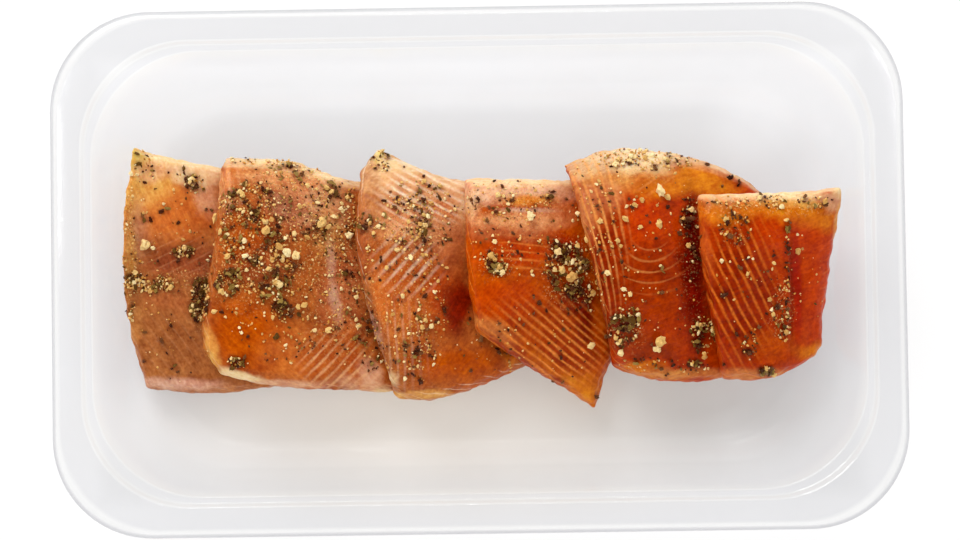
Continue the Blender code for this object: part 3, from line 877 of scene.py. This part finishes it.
wetFlesh = {
    "broad": (4.5 * mm, 0.3),  # each pattern in the flesh: its size and how strongly it shades it
    "middling": (2 * mm, 0.14),
    "fibres": ((4 * mm, 0.7 * mm, 1.5 * mm), 0.2),
    "fine": (0.9 * mm, 0.3),
    "lineCore": 0.02,  # a fat line is at its full strength this close to its middle, as a share of the gap
    "lineSwing": (0.6, 1.2),  # how its width changes along it
    "lineStrength": (0.55, 0.95),  # and its strength
    "besides": 0.6,  # how much the flesh beside the lines takes its own colour
    "stainShade": "#84300E",  # oil staining and painted shade where pepper and herbs lie thick
    "specks": [  # of ground spice: size, place in the noise, colour, and the noise's value where they start
        (0.55 * mm, 0 * mm, "#4A240A", 0.61),
        (0.6 * mm, 5 * mm, "#F0C880", 0.60),
        (0.8 * mm, 9 * mm, "#7C6424", 0.66),
    ],
    "speckEdge": 0.05,
    "speckStrength": 0.45,
    "roughness": (0.28, 0.5),
    "relief": 0.14 * mm,
    "oilFilm": (1.8 * mm, 0.3 * mm),  # the size and depth of its waves
}


def strongestOf(tree, values):
    best = values[0]
    for value in values[1:]:
        best = addNode(tree, "Math", {0: best, 1: value}, operation="MAXIMUM")
    return best


def fatLine(tree, letter, swing):  # how strongly a run's lines show, and how strong the run is here
    phase, strength, wide = [
        addNode(tree, "Attribute", attribute_name=kind + letter).outputs["Fac"]
        for kind in ("linePhase", "lineShow", "lineWide")
    ]
    rounded = addNode(tree, "Math", {0: phase}, operation="ROUND")
    away = addNode(tree, "Math", {0: phase, 1: rounded}, operation="SUBTRACT")
    toLine = addNode(tree, "Math", {0: away}, operation="ABSOLUTE")
    width = addNode(tree, "Math", {0: wide, 1: swing}, operation="MULTIPLY")
    fade = {"From Min": wetFlesh["lineCore"], "From Max": width, "To Min": 1.0, "To Max": 0.0}
    shape = addNode(tree, "MapRange", {"Value": toLine, **fade}, interpolation_type="SMOOTHSTEP")
    shown = addNode(tree, "Math", {0: shape, 1: strength}, operation="MULTIPLY")
    return shown, strength


def dustedFlesh(tree, place, colour):  # fine specks of ground spice over the flesh
    w = wetFlesh
    dust = addNode(tree, "Attribute", attribute_name="spiceDust").outputs["Fac"]
    for size, shift, code, least in w["specks"]:
        moved = addNode(tree, "Mapping", {"Vector": place, "Location": (shift, 0, 0)})
        cells = addNode(tree, "TexNoise", {"Vector": moved, "Scale": 1 / size, "Detail": 1.0})
        edge = {"From Min": least, "From Max": least + w["speckEdge"], "To Max": w["speckStrength"]}
        specks = addNode(tree, "MapRange", {"Value": cells, **edge})
        shown = addNode(tree, "Math", {0: specks, 1: dust}, operation="MULTIPLY")
        mixed = {0: shown, 6: colour, 7: linear(code)}
        colour = addNode(tree, "Mix", mixed, data_type="RGBA").outputs[2]
    return colour


def marinatedSalmon(name, turn, lineColour, between):
    # Raw salmon in oil: translucent orange flesh with thin pale fat lines, soft mottling and a wet gloss
    material, tree, shader, place = newMaterial(name)
    w = wetFlesh
    patterns = {}
    for kind, detail in (("broad", 3.0), ("fine", 3.0), ("middling", 2.0)):
        scale = {"Scale": 1 / w[kind][0], "Detail": detail}
        patterns[kind] = addNode(tree, "TexNoise", {"Vector": place, **scale})
    turned = {"Vector": place, "Rotation": (0, 0, turn), "Scale": w["fibres"][0]}
    spun = addNode(tree, "Mapping", turned, vector_type="TEXTURE")
    lengthwise = {"Vector": spun, "Scale": 1.0, "Detail": 2.0}
    patterns["fibres"] = addNode(tree, "TexNoise", lengthwise)
    fine = patterns["fine"]
    # the slice's painted colour, which carries its painted back light, highlights and shade
    toned = addNode(tree, "Attribute", attribute_name="fleshPaint").outputs["Color"]
    for kind in ("broad", "middling", "fibres", "fine"):
        spread = addNode(tree, "MapRange", {"Value": patterns[kind], **noiseSpan})
        shading = {0: w[kind][1], 6: toned, 7: spread}
        toned = addNode(tree, "Mix", shading, data_type="RGBA", blend_type="SOFT_LIGHT").outputs[2]
    widths = {**noiseSpan, "To Min": w["lineSwing"][0], "To Max": w["lineSwing"][1]}
    swing = addNode(tree, "MapRange", {"Value": patterns["broad"], **widths})
    runs = [fatLine(tree, letter, swing) for letter in lineLetters]
    strongest = strongestOf(tree, [shown for shown, _ in runs])
    faintest, fullest = w["lineStrength"]
    breaks = {"From Min": 0.35, "From Max": 0.6, "To Min": faintest, "To Max": fullest}
    broken = addNode(tree, "MapRange", {"Value": fine, **breaks})
    lines = addNode(tree, "Math", {0: strongest, 1: broken}, operation="MULTIPLY")
    onTop = strongestOf(tree, [strength for _, strength in runs[:3]])
    besides = addNode(tree, "Math", {0: onTop, 1: w["besides"]}, operation="MULTIPLY")
    tinted = {0: besides, 6: toned, 7: linear(between)}
    shaded = addNode(tree, "Mix", tinted, data_type="RGBA", blend_type="MULTIPLY")
    fatty = {0: lines, 6: shaded.outputs[2], 7: linear(lineColour)}
    lined = addNode(tree, "Mix", fatty, data_type="RGBA")
    # oil staining and painted shade round pepper and herbs
    stainShade = addNode(tree, "Attribute", attribute_name="spiceStainShade").outputs["Fac"]
    darker = {0: stainShade, 6: lined.outputs[2], 7: linear(w["stainShade"])}
    stainedShaded = addNode(tree, "Mix", darker, data_type="RGBA", blend_type="MULTIPLY")
    dusted = dustedFlesh(tree, place, stainedShaded.outputs[2])
    sheen = {"From Min": 0.35, "From Max": 0.65, "To Min": w["roughness"][0], "To Max": w["roughness"][1]}
    gloss = addNode(tree, "MapRange", {"Value": fine, **sheen})
    grain = addNode(tree, "Math", {0: patterns["fibres"], 1: 0.5, 2: fine}, operation="MULTIPLY_ADD")
    height = addNode(tree, "Math", {0: grain, 1: lines}, operation="SUBTRACT")
    bump = addNode(tree, "Bump", {"Height": height, "Strength": 0.6, "Distance": w["relief"]})
    filmSize, filmDepth = w["oilFilm"]
    film = addNode(tree, "TexNoise", {"Vector": place, "Scale": 1 / filmSize, "Detail": 1.5})
    wet = addNode(tree, "Bump", {"Height": film, "Strength": 0.7, "Distance": filmDepth})
    flesh = {
        "Base Color": dusted,
        "Roughness": gloss,
        "Normal": bump,
        "Coat Normal": wet,
        "IOR": 1.36,
        "Subsurface Weight": 0.35,
        "Subsurface Radius": (1.0, 0.42, 0.14),
        "Subsurface Scale": 1.8 * mm,
        "Specular IOR Level": 0.16,
        "Specular Tint": linear("#FF8838"),
        "Coat Weight": 0.11,
        "Coat Roughness": 0.05,
    }
    setInputs(tree, shader, flesh)
    return material


def makeSlices():
    made = []
    for number, (name, design) in enumerate(zip(sliceNames, slices)):
        ending = "_" + str(number + 1)
        turn = grainTurn(design)
        flesh = marinatedSalmon("marinatedSalmon" + ending, turn, design["line"], design["between"])
        piece = newPiece("salmonSlice" + ending, fineMesh(name), flesh)
        shapeSlice(piece.data, design, 20 * number)
        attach(piece, "root")
        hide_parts(name)
        made.append(piece)
        print("slice made:", name, len(piece.data.polygons), "faces")
    return made


sliceObjects = makeSlices()

# The seasoning

# Every kind: its sizes (least, usual, most) in millimetres, its shape as (length, width, height), how rough
# its bits are, how deep they sink, how many there are for each one that an area below counts, and its
# colours from dark to light.
seasonings = {
    "crackedPepper": {
        "sizes": (0.35, 0.75, 1.5), "shape": (1.0, 0.65, 0.55), "rough": 0.34, "sunk": 0.3, "crowd": 1.12,
        "colours": ("#280602", "#4A1C08", "#80502A"),
    },
    "herbFlakes": {
        "sizes": (0.5, 1.0, 2.0), "shape": (1.0, 0.55, 0.2), "rough": 0.25, "sunk": 0.0, "crowd": 1.0,
        "colours": ("#341404", "#60400F", "#9C7E3C"),
    },
    "garlicGranules": {
        "sizes": (0.45, 0.85, 1.5), "shape": (1.0, 0.85, 0.65), "rough": 0.24, "sunk": 0.25, "crowd": 0.9,
        "colours": ("#BC8038", "#E6BC70", "#F8E6B0"),
    },
    "goldenCrumbs": {
        "sizes": (0.28, 0.5, 0.95), "shape": (1.0, 0.8, 0.6), "rough": 0.2, "sunk": 0.3, "crowd": 1.35,
        "colours": ("#A85C18", "#DEA048", "#F6D898"),
    },
}
kinds = tuple(seasonings)
darkKinds = ("crackedPepper", "herbFlakes")  # these darken the flesh with oil staining and painted shade

scatter = {
    "seed": 11,
    "clump": 15,  # bits gather in clumps of about this many pixels
    "apart": 40,  # the noises of two kinds are taken this far apart
    "chance": (0.08, 0.35, 1.6),  # of a place taking a bit: the least, the middle, and how clumps change it
    "sizeSpread": 0.35,
    "upright": 0.15,  # bits lie where the flesh is turned up by more than this
    "touching": 0.45,  # bits closer than this share of a size lie on each other
    "piled": (2, 0.25),  # so many deep at most, and each raises the next by this share of its size
    "pileCell": 1.6 * mm,  # size of the squares that near bits are looked up in
    "lean": 0.18,  # how far a bit leans off the surface, and how much its sides differ from its kind's shape
    "stretch": (0.8, 1.2),
    "large": 1.4 * mm,  # a bit has 80 faces from this size and 20 below it
    "lot": 3000,  # corners in one lot of bits, because a bmesh operator slows down as its mesh grows
}

# how the oil staining and painted shade round pepper and herbs spread
spiceStainShades = {
    "cell": 0.3 * mm,
    "blur": 0.9 * mm,
    "blurCells": 8,  # how far it reaches
    "strength": 0.16,
    "most": 0.75,
}

# Where it lies: centre, radii, turn, and how many bits of pepper, herbs, garlic and crumbs
sprinkles = [
    ((172, 265), (48, 118), -3, (38, 10, 20, 50)),  # slice 1 all over
    ((127, 240), (8, 88), -2, (20, 14, 26, 90)),  # its left edge
    ((150, 283), (30, 9), 4, (16, 36, 36, 60)),
    ((200, 300), (10, 24), 4, (44, 50, 30, 50)),
    ((195, 184), (11, 9), 0, (14, 12, 12, 16)),
    ((182, 251), (13, 6), 0, (4, 12, 12, 20)),
    ((145, 165), (20, 16), 0, (4, 5, 6, 20)),
    ((285, 262), (72, 104), 0, (130, 66, 76, 180)),  # slice 2 all over
    ((250, 235), (30, 58), 0, (64, 80, 44, 70)),
    ((300, 200), (56, 40), 0, (50, 40, 54, 90)),
    ((230, 203), (12, 14), 0, (8, 12, 12, 20)),
    ((278, 282), (18, 28), 15, (24, 40, 22, 40)),
    ((230, 283), (14, 13), 0, (22, 28, 14, 30)),
    ((282, 312), (12, 12), 0, (18, 16, 8, 14)),
    ((238, 362), (11, 6), 0, (16, 16, 6, 10)),
    ((268, 160), (52, 7), 3, (20, 16, 26, 60)),
    ((332, 215), (26, 34), 0, (12, 12, 28, 50)),
    ((345, 300), (16, 66), 0, (34, 12, 20, 40)),
    ((418, 218), (40, 38), 10, (36, 20, 40, 60)),  # slice 3
    ((405, 288), (44, 90), 0, (66, 20, 66, 110)),
    ((418, 214), (15, 22), 0, (8, 26, 24, 30)),
    ((362, 222), (10, 9), 0, (11, 12, 6, 10)),
    ((380, 163), (10, 12), 0, (9, 10, 6, 14)),
    ((420, 345), (16, 38), 0, (18, 6, 10, 60)),
    ((372, 340), (14, 32), 0, (26, 8, 5, 10)),
    ((470, 345), (50, 34), 0, (14, 4, 4, 16)),
    ((505, 200), (50, 22), 0, (30, 8, 18, 40)),  # slice 4
    ((520, 245), (50, 36), 0, (26, 10, 24, 40)),
    ((496, 263), (12, 10), 45, (24, 32, 24, 28)),
    ((566, 266), (21, 28), -10, (86, 52, 44, 54)),
    ((578, 290), (12, 22), -10, (44, 6, 4, 8)),
    ((545, 340), (50, 50), 30, (24, 3, 4, 20)),
    ((598, 250), (26, 90), -8, (30, 8, 40, 50)),  # slice 5
    ((640, 158), (60, 12), 3, (34, 12, 66, 130)),
    ((650, 250), (56, 100), 0, (40, 8, 34, 50)),
    ((625, 326), (15, 21), 10, (52, 44, 22, 26)),
    ((690, 236), (11, 44), -4, (26, 2, 10, 16)),
    ((688, 217), (8, 12), 0, (18, 0, 2, 4)),
    ((703, 335), (13, 19), 0, (28, 30, 24, 30)),
    ((665, 366), (46, 9), 3, (28, 14, 8, 20)),
    ((735, 228), (17, 16), 30, (26, 6, 4, 12)),  # slice 6
    ((765, 202), (66, 7), 0, (20, 6, 10, 60)),
    ((770, 290), (56, 70), 0, (18, 2, 10, 30)),
    ((782, 312), (9, 30), -4, (18, 10, 14, 22)),
    ((787, 270), (2.5, 56), 0, (22, 5, 7, 8)),
    ((750, 346), (9, 14), 0, (18, 5, 4, 8)),
    ((767, 371), (8, 4), 0, (10, 22, 3, 8)),
    ((815, 202), (20, 6), 0, (8, 2, 4, 8)),
]

# Bits that stand out, one by one: place and size in millimetres
singles = {
    "garlicGranules": [
        (146, 245, 2.8), (153, 248, 1.5), (216, 218, 2.0), (265, 232, 2.4), (278, 247, 2.3),
        (286, 252, 2.2), (294, 256, 2.3), (320, 223, 2.6), (327, 227, 1.6), (348, 236, 2.0),
        (279, 285, 1.9), (304, 305, 2.3), (297, 307, 1.7), (328, 330, 1.8), (386, 268, 1.5),
        (402, 296, 1.3), (528, 217, 2.5), (490, 256, 2.0), (494, 260, 1.5), (568, 277, 3.3),
        (560, 270, 2.0), (556, 252, 1.9), (576, 246, 1.5), (580, 213, 1.6), (600, 221, 1.7),
        (625, 219, 2.1), (588, 240, 1.6), (597, 282, 1.6), (608, 272, 1.7), (592, 292, 1.4),
        (660, 193, 3.1), (667, 197, 2.1), (642, 200, 1.5), (659, 224, 1.8), (640, 227, 1.4),
        (659, 340, 3.2), (657, 349, 2.1), (590, 345, 2.2), (621, 352, 1.8), (630, 294, 1.5),
        (726, 220, 1.6), (798, 251, 1.7), (747, 274, 1.4), (774, 263, 1.3), (711, 321, 1.5),
        (772, 314, 1.6), (703, 355, 1.7),
    ],
    "crackedPepper": [
        (149, 149, 1.2), (145, 183, 1.3), (195, 178, 1.3), (151, 220, 1.5), (178, 223, 1.3),
        (158, 261, 1.2), (178, 261, 1.2), (171, 325, 1.4), (145, 332, 1.4), (144, 361, 1.3),
        (125, 298, 1.3), (365, 228, 1.7), (404, 167, 1.1), (423, 177, 1.2), (429, 186, 1.2),
        (388, 167, 1.0), (424, 220, 1.2), (425, 296, 1.6), (367, 328, 1.4), (376, 348, 1.3),
        (381, 261, 1.2), (413, 366, 1.1), (420, 380, 1.5), (478, 199, 1.5), (494, 181, 1.2),
        (502, 187, 1.2), (495, 212, 1.4), (487, 221, 1.4), (553, 192, 1.3), (566, 199, 1.2),
        (539, 303, 1.5), (546, 311, 1.3), (563, 329, 1.4), (561, 357, 1.4), (563, 380, 1.4),
        (499, 352, 1.4), (481, 339, 1.7), (471, 371, 1.2), (596, 397, 1.7), (707, 165, 1.7),
        (730, 178, 1.8), (739, 182, 1.5), (629, 199, 1.3), (632, 208, 1.2), (668, 207, 1.5),
        (687, 220, 2.4), (692, 248, 1.8), (662, 368, 1.3), (673, 365, 1.4), (671, 360, 1.2),
        (706, 160, 1.5), (738, 185, 1.4), (722, 186, 1.2), (740, 218, 1.4), (730, 236, 1.5),
        (748, 238, 1.4), (773, 256, 1.4), (723, 295, 1.8), (748, 352, 1.6), (761, 369, 1.6),
        (824, 204, 1.5), (805, 198, 1.3), (789, 222, 1.2), (724, 364, 1.3),
    ],
}


oiledBits = {
    "mottle": (0.45 * mm, 0.6),  # its size and how much it counts beside the bit's own tone
    "tones": (0.15, 1.35),  # the sums of both that give the darkest and the lightest colour
    "roughness": (0.3, 0.55),
    "relief": 0.1 * mm,
}


def seasoningMaterial(name, design):
    # Dry bits wetted with oil: each has its own tone, a mottled face and a soft sheen
    material, tree, shader, place = newMaterial(name)
    tone = addNode(tree, "Attribute", attribute_name="bitTone").outputs["Fac"]
    size, part = oiledBits["mottle"]
    mottle = addNode(tree, "TexNoise", {"Vector": place, "Scale": 1 / size, "Detail": 2.0})
    mixed = addNode(tree, "Math", {0: mottle, 1: part, 2: tone}, operation="MULTIPLY_ADD")
    darkest, lightest = oiledBits["tones"]
    level = addNode(tree, "MapRange", {"Value": mixed, "From Min": darkest, "From Max": lightest})
    stops = [(share, linear(code)) for share, code in zip((0.0, 0.5, 1.0), design["colours"])]
    tinted = addNode(tree, "ValToRGB", {0: level}, ramp=stops)
    least, most = oiledBits["roughness"]
    sheen = addNode(tree, "MapRange", {"Value": mottle, **noiseSpan, "To Min": least, "To Max": most})
    bump = addNode(tree, "Bump", {"Height": mottle, "Strength": 0.7, "Distance": oiledBits["relief"]})
    setInputs(tree, shader, {"Base Color": tinted, "Roughness": sheen, "Normal": bump})
    setInputs(tree, shader, {"Specular IOR Level": 0.3, "Specular Tint": linear("#FFD0A0")})
    return material


def joinedTree(objects):
    whole = bmesh.new()
    for piece in objects:
        whole.from_mesh(piece.data)
    found = BVHTree.FromBMesh(whole)
    whole.free()
    return found


def addBit(shape, layer, kind, spot, normal, size, dice):
    # one irregular grain, lying on the surface and a little sunk into it
    design = seasonings[kind]
    lean = Vector([dice.gauss(0, scatter["lean"]) for _ in range(3)])
    turned = (normal + lean).normalized().to_track_quat("Z", "Y").to_matrix().to_4x4()
    turned = turned @ Matrix.Rotation(dice.uniform(0, math.tau), 4, "Z")
    stretch = [part * dice.uniform(*scatter["stretch"]) * size / 2 for part in design["shape"]]
    rise = stretch[2] * (1 - 2 * design["sunk"])
    placed = Matrix.Translation(spot + normal * rise) @ turned @ Matrix.Diagonal((*stretch, 1))
    detail = 2 if size > scatter["large"] else 1
    corners = bmesh.ops.create_icosphere(shape, subdivisions=detail, radius=1.0, matrix=placed)["verts"]
    tone = dice.random()
    centre = placed.translation
    for corner in corners:
        corner.co = centre + (corner.co - centre) * (1 + dice.gauss(0, design["rough"]))
        corner[layer] = tone


def scatterSpots(dice):
    # (kind, pixel, size) of every bit, the single ones last
    found = []
    least, usually, contrast = scatter["chance"]
    for centre, radii, turn, counts in sprinkles:
        angle = math.radians(turn)
        for number, (kind, count) in enumerate(zip(kinds, counts)):
            low, usual, high = seasonings[kind]["sizes"]
            placed = 0
            while placed < count * seasonings[kind]["crowd"]:
                reach, way = math.sqrt(dice.random()), dice.uniform(0, math.tau)
                x, y = radii[0] * reach * math.cos(way), radii[1] * reach * math.sin(way)
                pixel = (
                    centre[0] + x * math.cos(angle) - y * math.sin(angle),
                    centre[1] + x * math.sin(angle) + y * math.cos(angle),
                )
                clump = noise.noise(Vector((*pixel, scatter["apart"] * number)) / scatter["clump"])
                if dice.random() > max(least, usually + contrast * clump):
                    continue
                placed += 1
                size = dice.lognormvariate(math.log(usual), scatter["sizeSpread"])
                found.append((kind, pixel, min(high, max(low, size)) * mm))
    for kind, bits in singles.items():
        found += [(kind, (x, y), size * mm) for x, y, size in bits]
    return found


def bitsNear(laid, spot, reach):  # how many bits lie within reach, and the spot is noted for the next one
    cell = scatter["pileCell"]
    column, row = int(spot.x // cell), int(spot.y // cell)
    around = [laid.get((column + i, row + j), ()) for i in (-1, 0, 1) for j in (-1, 0, 1)]
    laid.setdefault((column, row), []).append(spot)
    return sum((other - spot).length < reach for spots in around for other in spots)


def stainAndShadeFlesh(spots):
    # the flesh darkens where pepper and herbs lie thick, with oil staining and painted shade round the
    # piles:
    # their places are laid on a fine grid, blurred and read back at each corner
    s = spiceStainShades
    low = np.array(trayLow.xy)
    shape = tuple(int(part) + 1 for part in (np.array(trayHigh.xy) - low) / s["cell"])
    grid = np.zeros(shape)
    steps = np.arange(-s["blurCells"], s["blurCells"] + 1)
    blur = np.exp(-((steps * s["cell"] / s["blur"]) ** 2))
    for x, y, size in spots:
        at = (np.array((x, y)) - low) / s["cell"]
        grid[int(at[0]), int(at[1])] += (size / mm) ** 2
    for axis in (0, 1):
        grid = np.apply_along_axis(np.convolve, axis, grid, blur, mode="same")
    for piece in sliceObjects:
        points = readVectors(piece.data.vertices, "co")
        at = ((points[:, :2] - low) / s["cell"]).astype(int)
        keepValues(piece.data, "spiceStainShade", np.clip(grid[at[:, 0], at[:, 1]] * s["strength"], 0, s["most"]))


def emptyLot(lot, whole):  # moves the bits made so far into the whole piece
    mesh = bpy.data.meshes.new("lot")
    lot.to_mesh(mesh)
    whole.from_mesh(mesh)
    bpy.data.meshes.remove(mesh)
    bmesh.ops.delete(lot, geom=lot.verts, context="VERTS")


def makeSeasoning():
    dice = random.Random(scatter["seed"])
    surface = joinedTree(sliceObjects)
    whole = {kind: bmesh.new() for kind in kinds}
    lots = {kind: bmesh.new() for kind in kinds}
    layers = {kind: lots[kind].verts.layers.float.new("bitTone") for kind in kinds}
    deep, rise = scatter["piled"]
    laid, dark = {}, []
    for kind, pixel, size in scatterSpots(dice):
        spot, normal, _, _ = surface.ray_cast(eye, rayThrough(*pixel))
        if spot is None or normal.z < scatter["upright"]:
            continue
        near = bitsNear(laid, spot, scatter["touching"] * size)
        if kind in darkKinds:
            dark.append((spot.x, spot.y, size))
        raised = spot + normal * min(near, deep) * rise * size
        addBit(lots[kind], layers[kind], kind, raised, normal, size, dice)
        if len(lots[kind].verts) > scatter["lot"]:
            emptyLot(lots[kind], whole[kind])
    stainAndShadeFlesh(dark)
    for kind in kinds:
        emptyLot(lots[kind], whole[kind])
        lots[kind].free()
        piece = newPiece(kind, whole[kind], seasoningMaterial(kind, seasonings[kind]), smooth=False)
        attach(piece, "root")
        print("seasoning made:", kind, len(piece.data.polygons), "faces")


makeSeasoning()

# The table and the lamps

studio = {
    "floorSize": 6.0,
    "floorDrop": 0.05 * mm,
    "tableTop": "#BABABA",
    "floorGlow": 0.5,  # the table is a light table: it shines by this and scatters the rest
    "farGlow": (0.4, 2.0, 1.0),  # and by more far away, so that no horizon shows: from, to and how much
    "trayGlow": 0.47,  # and under the tray by this
    "glowSlope": (0.1, 1.7, 0.0),  # there it shines more to the back, by this for each metre
    "glowRange": (0.44, 0.6),
    "glowEdge": (7 * mm, 12 * mm),  # how far inside the tray's outline the one turns into the other
    # painted warm light on the table in front of the slices, as if passed on by the salmon
    "warmWhite": "#FFF3E2",
    "warmPatch": ((-5 * mm, -40 * mm), (125 * mm, 34 * mm), 1.0),  # its centre, reach and amount
    "glowPatches": [  # where the table shines more or less, in the same way
        # a painted pool of light in front of the slices, where their shadow falls
        ((-30 * mm, -40 * mm), (95 * mm, 20 * mm), 0.16),
        # a painted shadow at the front right of the slices
        ((57 * mm, -44 * mm), (38 * mm, 17 * mm), -0.055),
        # painted shade under the right side of the tray
        ((122 * mm, 50 * mm), (34 * mm, 60 * mm), -0.05),
        # a painted highlight in the back right corner of the tray
        ((76 * mm, 40 * mm), (17 * mm, 15 * mm), 0.08),
        # painted light along the tray's back wall
        ((-20 * mm, 62 * mm), (100 * mm, 11 * mm), 0.04),
    ],
    "patchCore": 0.2,  # a patch has its whole amount up to this share of its reach
    "lamps": {  # place, size and power of each soft box, all aimed at the tray
        "backLeft": ((-0.75, 1.5, 1.25), 1.1, 31),
        "sparkRight": ((0.5, 0.35, 1.9), 0.12, 0.9),  # small lamps for glints on what is wet
        "sparkLeft": ((-0.55, 0.2, 1.9), 0.12, 0.7),
        "sparkBack": ((0.0, 0.8, 1.8), 0.14, 1.2),
        "front": ((0.5, -1.9, 1.5), 2.6, 17),
    },
    "horizon": 0.98,  # brightness of the surroundings at the horizon and straight above
    "zenith": 0.12,
    "skyFade": (0.5, 0.93),  # and how high the one starts and ends to turn into the other
}


def glowPatch(tree, place, patch):  # its amount in the middle, fading to 0 at its reach
    centre, reach, amount = patch
    away = addNode(tree, "VectorMath", {0: place, 1: (*centre, 0)}, operation="SUBTRACT")
    perReach = (1 / reach[0], 1 / reach[1], 0)
    shares = addNode(tree, "VectorMath", {0: away, 1: perReach}, operation="MULTIPLY")
    share = addNode(tree, "VectorMath", {0: shares}, operation="LENGTH").outputs["Value"]
    fade = {"From Min": studio["patchCore"], "From Max": 1.0, "To Min": amount, "To Max": 0.0}
    return addNode(tree, "MapRange", {"Value": share, **fade}, interpolation_type="SMOOTHSTEP")


def makeFloor():
    plane = bmesh.new()
    bmesh.ops.create_grid(plane, x_segments=1, y_segments=1, size=studio["floorSize"] / 2)
    bmesh.ops.translate(plane, verts=plane.verts, vec=(0, 0, trayLow.z - studio["floorDrop"]))
    # White opal acrylic lit from below: matt and bright, so the shadows on it stay soft and faint. Away from
    # the tray it is even; under the tray its glow carries painted light and shade from the warm and glow
    # patches
    material, tree, shader, place = newMaterial("whiteTable")
    table = {"Base Color": linear(studio["tableTop"]), "Roughness": 0.8, "Specular IOR Level": 0.1}
    setInputs(tree, shader, table)
    warm = glowPatch(tree, place, studio["warmPatch"])
    white = {6: linear("#FFFFFF"), 7: linear(studio["warmWhite"])}
    shade = addNode(tree, "Mix", {0: warm, **white}, data_type="RGBA")
    slope = addNode(tree, "VectorMath", {0: place, 1: studio["glowSlope"]}, operation="DOT_PRODUCT")
    glow = addNode(tree, "Math", {0: slope.outputs["Value"], 1: studio["trayGlow"]}, operation="ADD")
    least, most = studio["glowRange"]
    kept = addNode(tree, "Clamp", {"Value": glow, "Min": least, "Max": most})
    start, end, far = studio["farGlow"]
    off = addNode(tree, "VectorMath", {0: place}, operation="LENGTH").outputs["Value"]
    distant = {"From Min": start, "From Max": end, "To Min": studio["floorGlow"], "To Max": far}
    outer = addNode(tree, "MapRange", {"Value": off, **distant})
    for patch in studio["glowPatches"]:
        kept = addNode(tree, "Math", {0: kept, 1: glowPatch(tree, place, patch)}, operation="ADD")
    away = addNode(tree, "VectorMath", {0: place}, operation="ABSOLUTE")
    inward = addNode(tree, "VectorMath", {0: trayHigh, 1: away}, operation="SUBTRACT")
    sides = addNode(tree, "SeparateXYZ", {0: inward})
    inset = addNode(tree, "Math", {0: sides.outputs["X"], 1: sides.outputs["Y"]}, operation="MINIMUM")
    edge = {"From Min": studio["glowEdge"][0], "From Max": studio["glowEdge"][1]}
    glows = {"To Min": outer, "To Max": kept}
    shine = addNode(tree, "MapRange", {"Value": inset, **edge, **glows})
    setInputs(tree, shader, {"Emission Color": shade.outputs[2], "Emission Strength": shine})
    floor = newPiece("whiteTable", plane, material)


def makeLight():
    for name, (place, size, power) in studio["lamps"].items():
        data = bpy.data.lights.new(name, "AREA")
        data.size = size
        data.energy = power
        lamp = addToScene(name, data)
        lamp.location = place
        lamp.rotation_euler = (-Vector(place)).to_track_quat("-Z", "Y").to_euler()
    world = bpy.data.worlds.new("studio")
    world.use_nodes = True
    bpy.context.scene.world = world
    tree = world.node_tree
    ways = addNode(tree, "TexCoord")
    parts = addNode(tree, "SeparateXYZ", {0: ways.outputs["Generated"]})
    start, end = studio["skyFade"]
    fade = {"From Min": start, "From Max": end, "To Min": studio["horizon"], "To Max": studio["zenith"]}
    rise = addNode(tree, "MapRange", {"Value": parts.outputs["Z"], **fade})
    setInputs(tree, tree.nodes["Background"], {"Color": linear("#FFFFFF"), "Strength": rise})
    bpy.context.scene.view_settings.view_transform = "Standard"


makeFloor()
makeLight()
print("floor and light made")
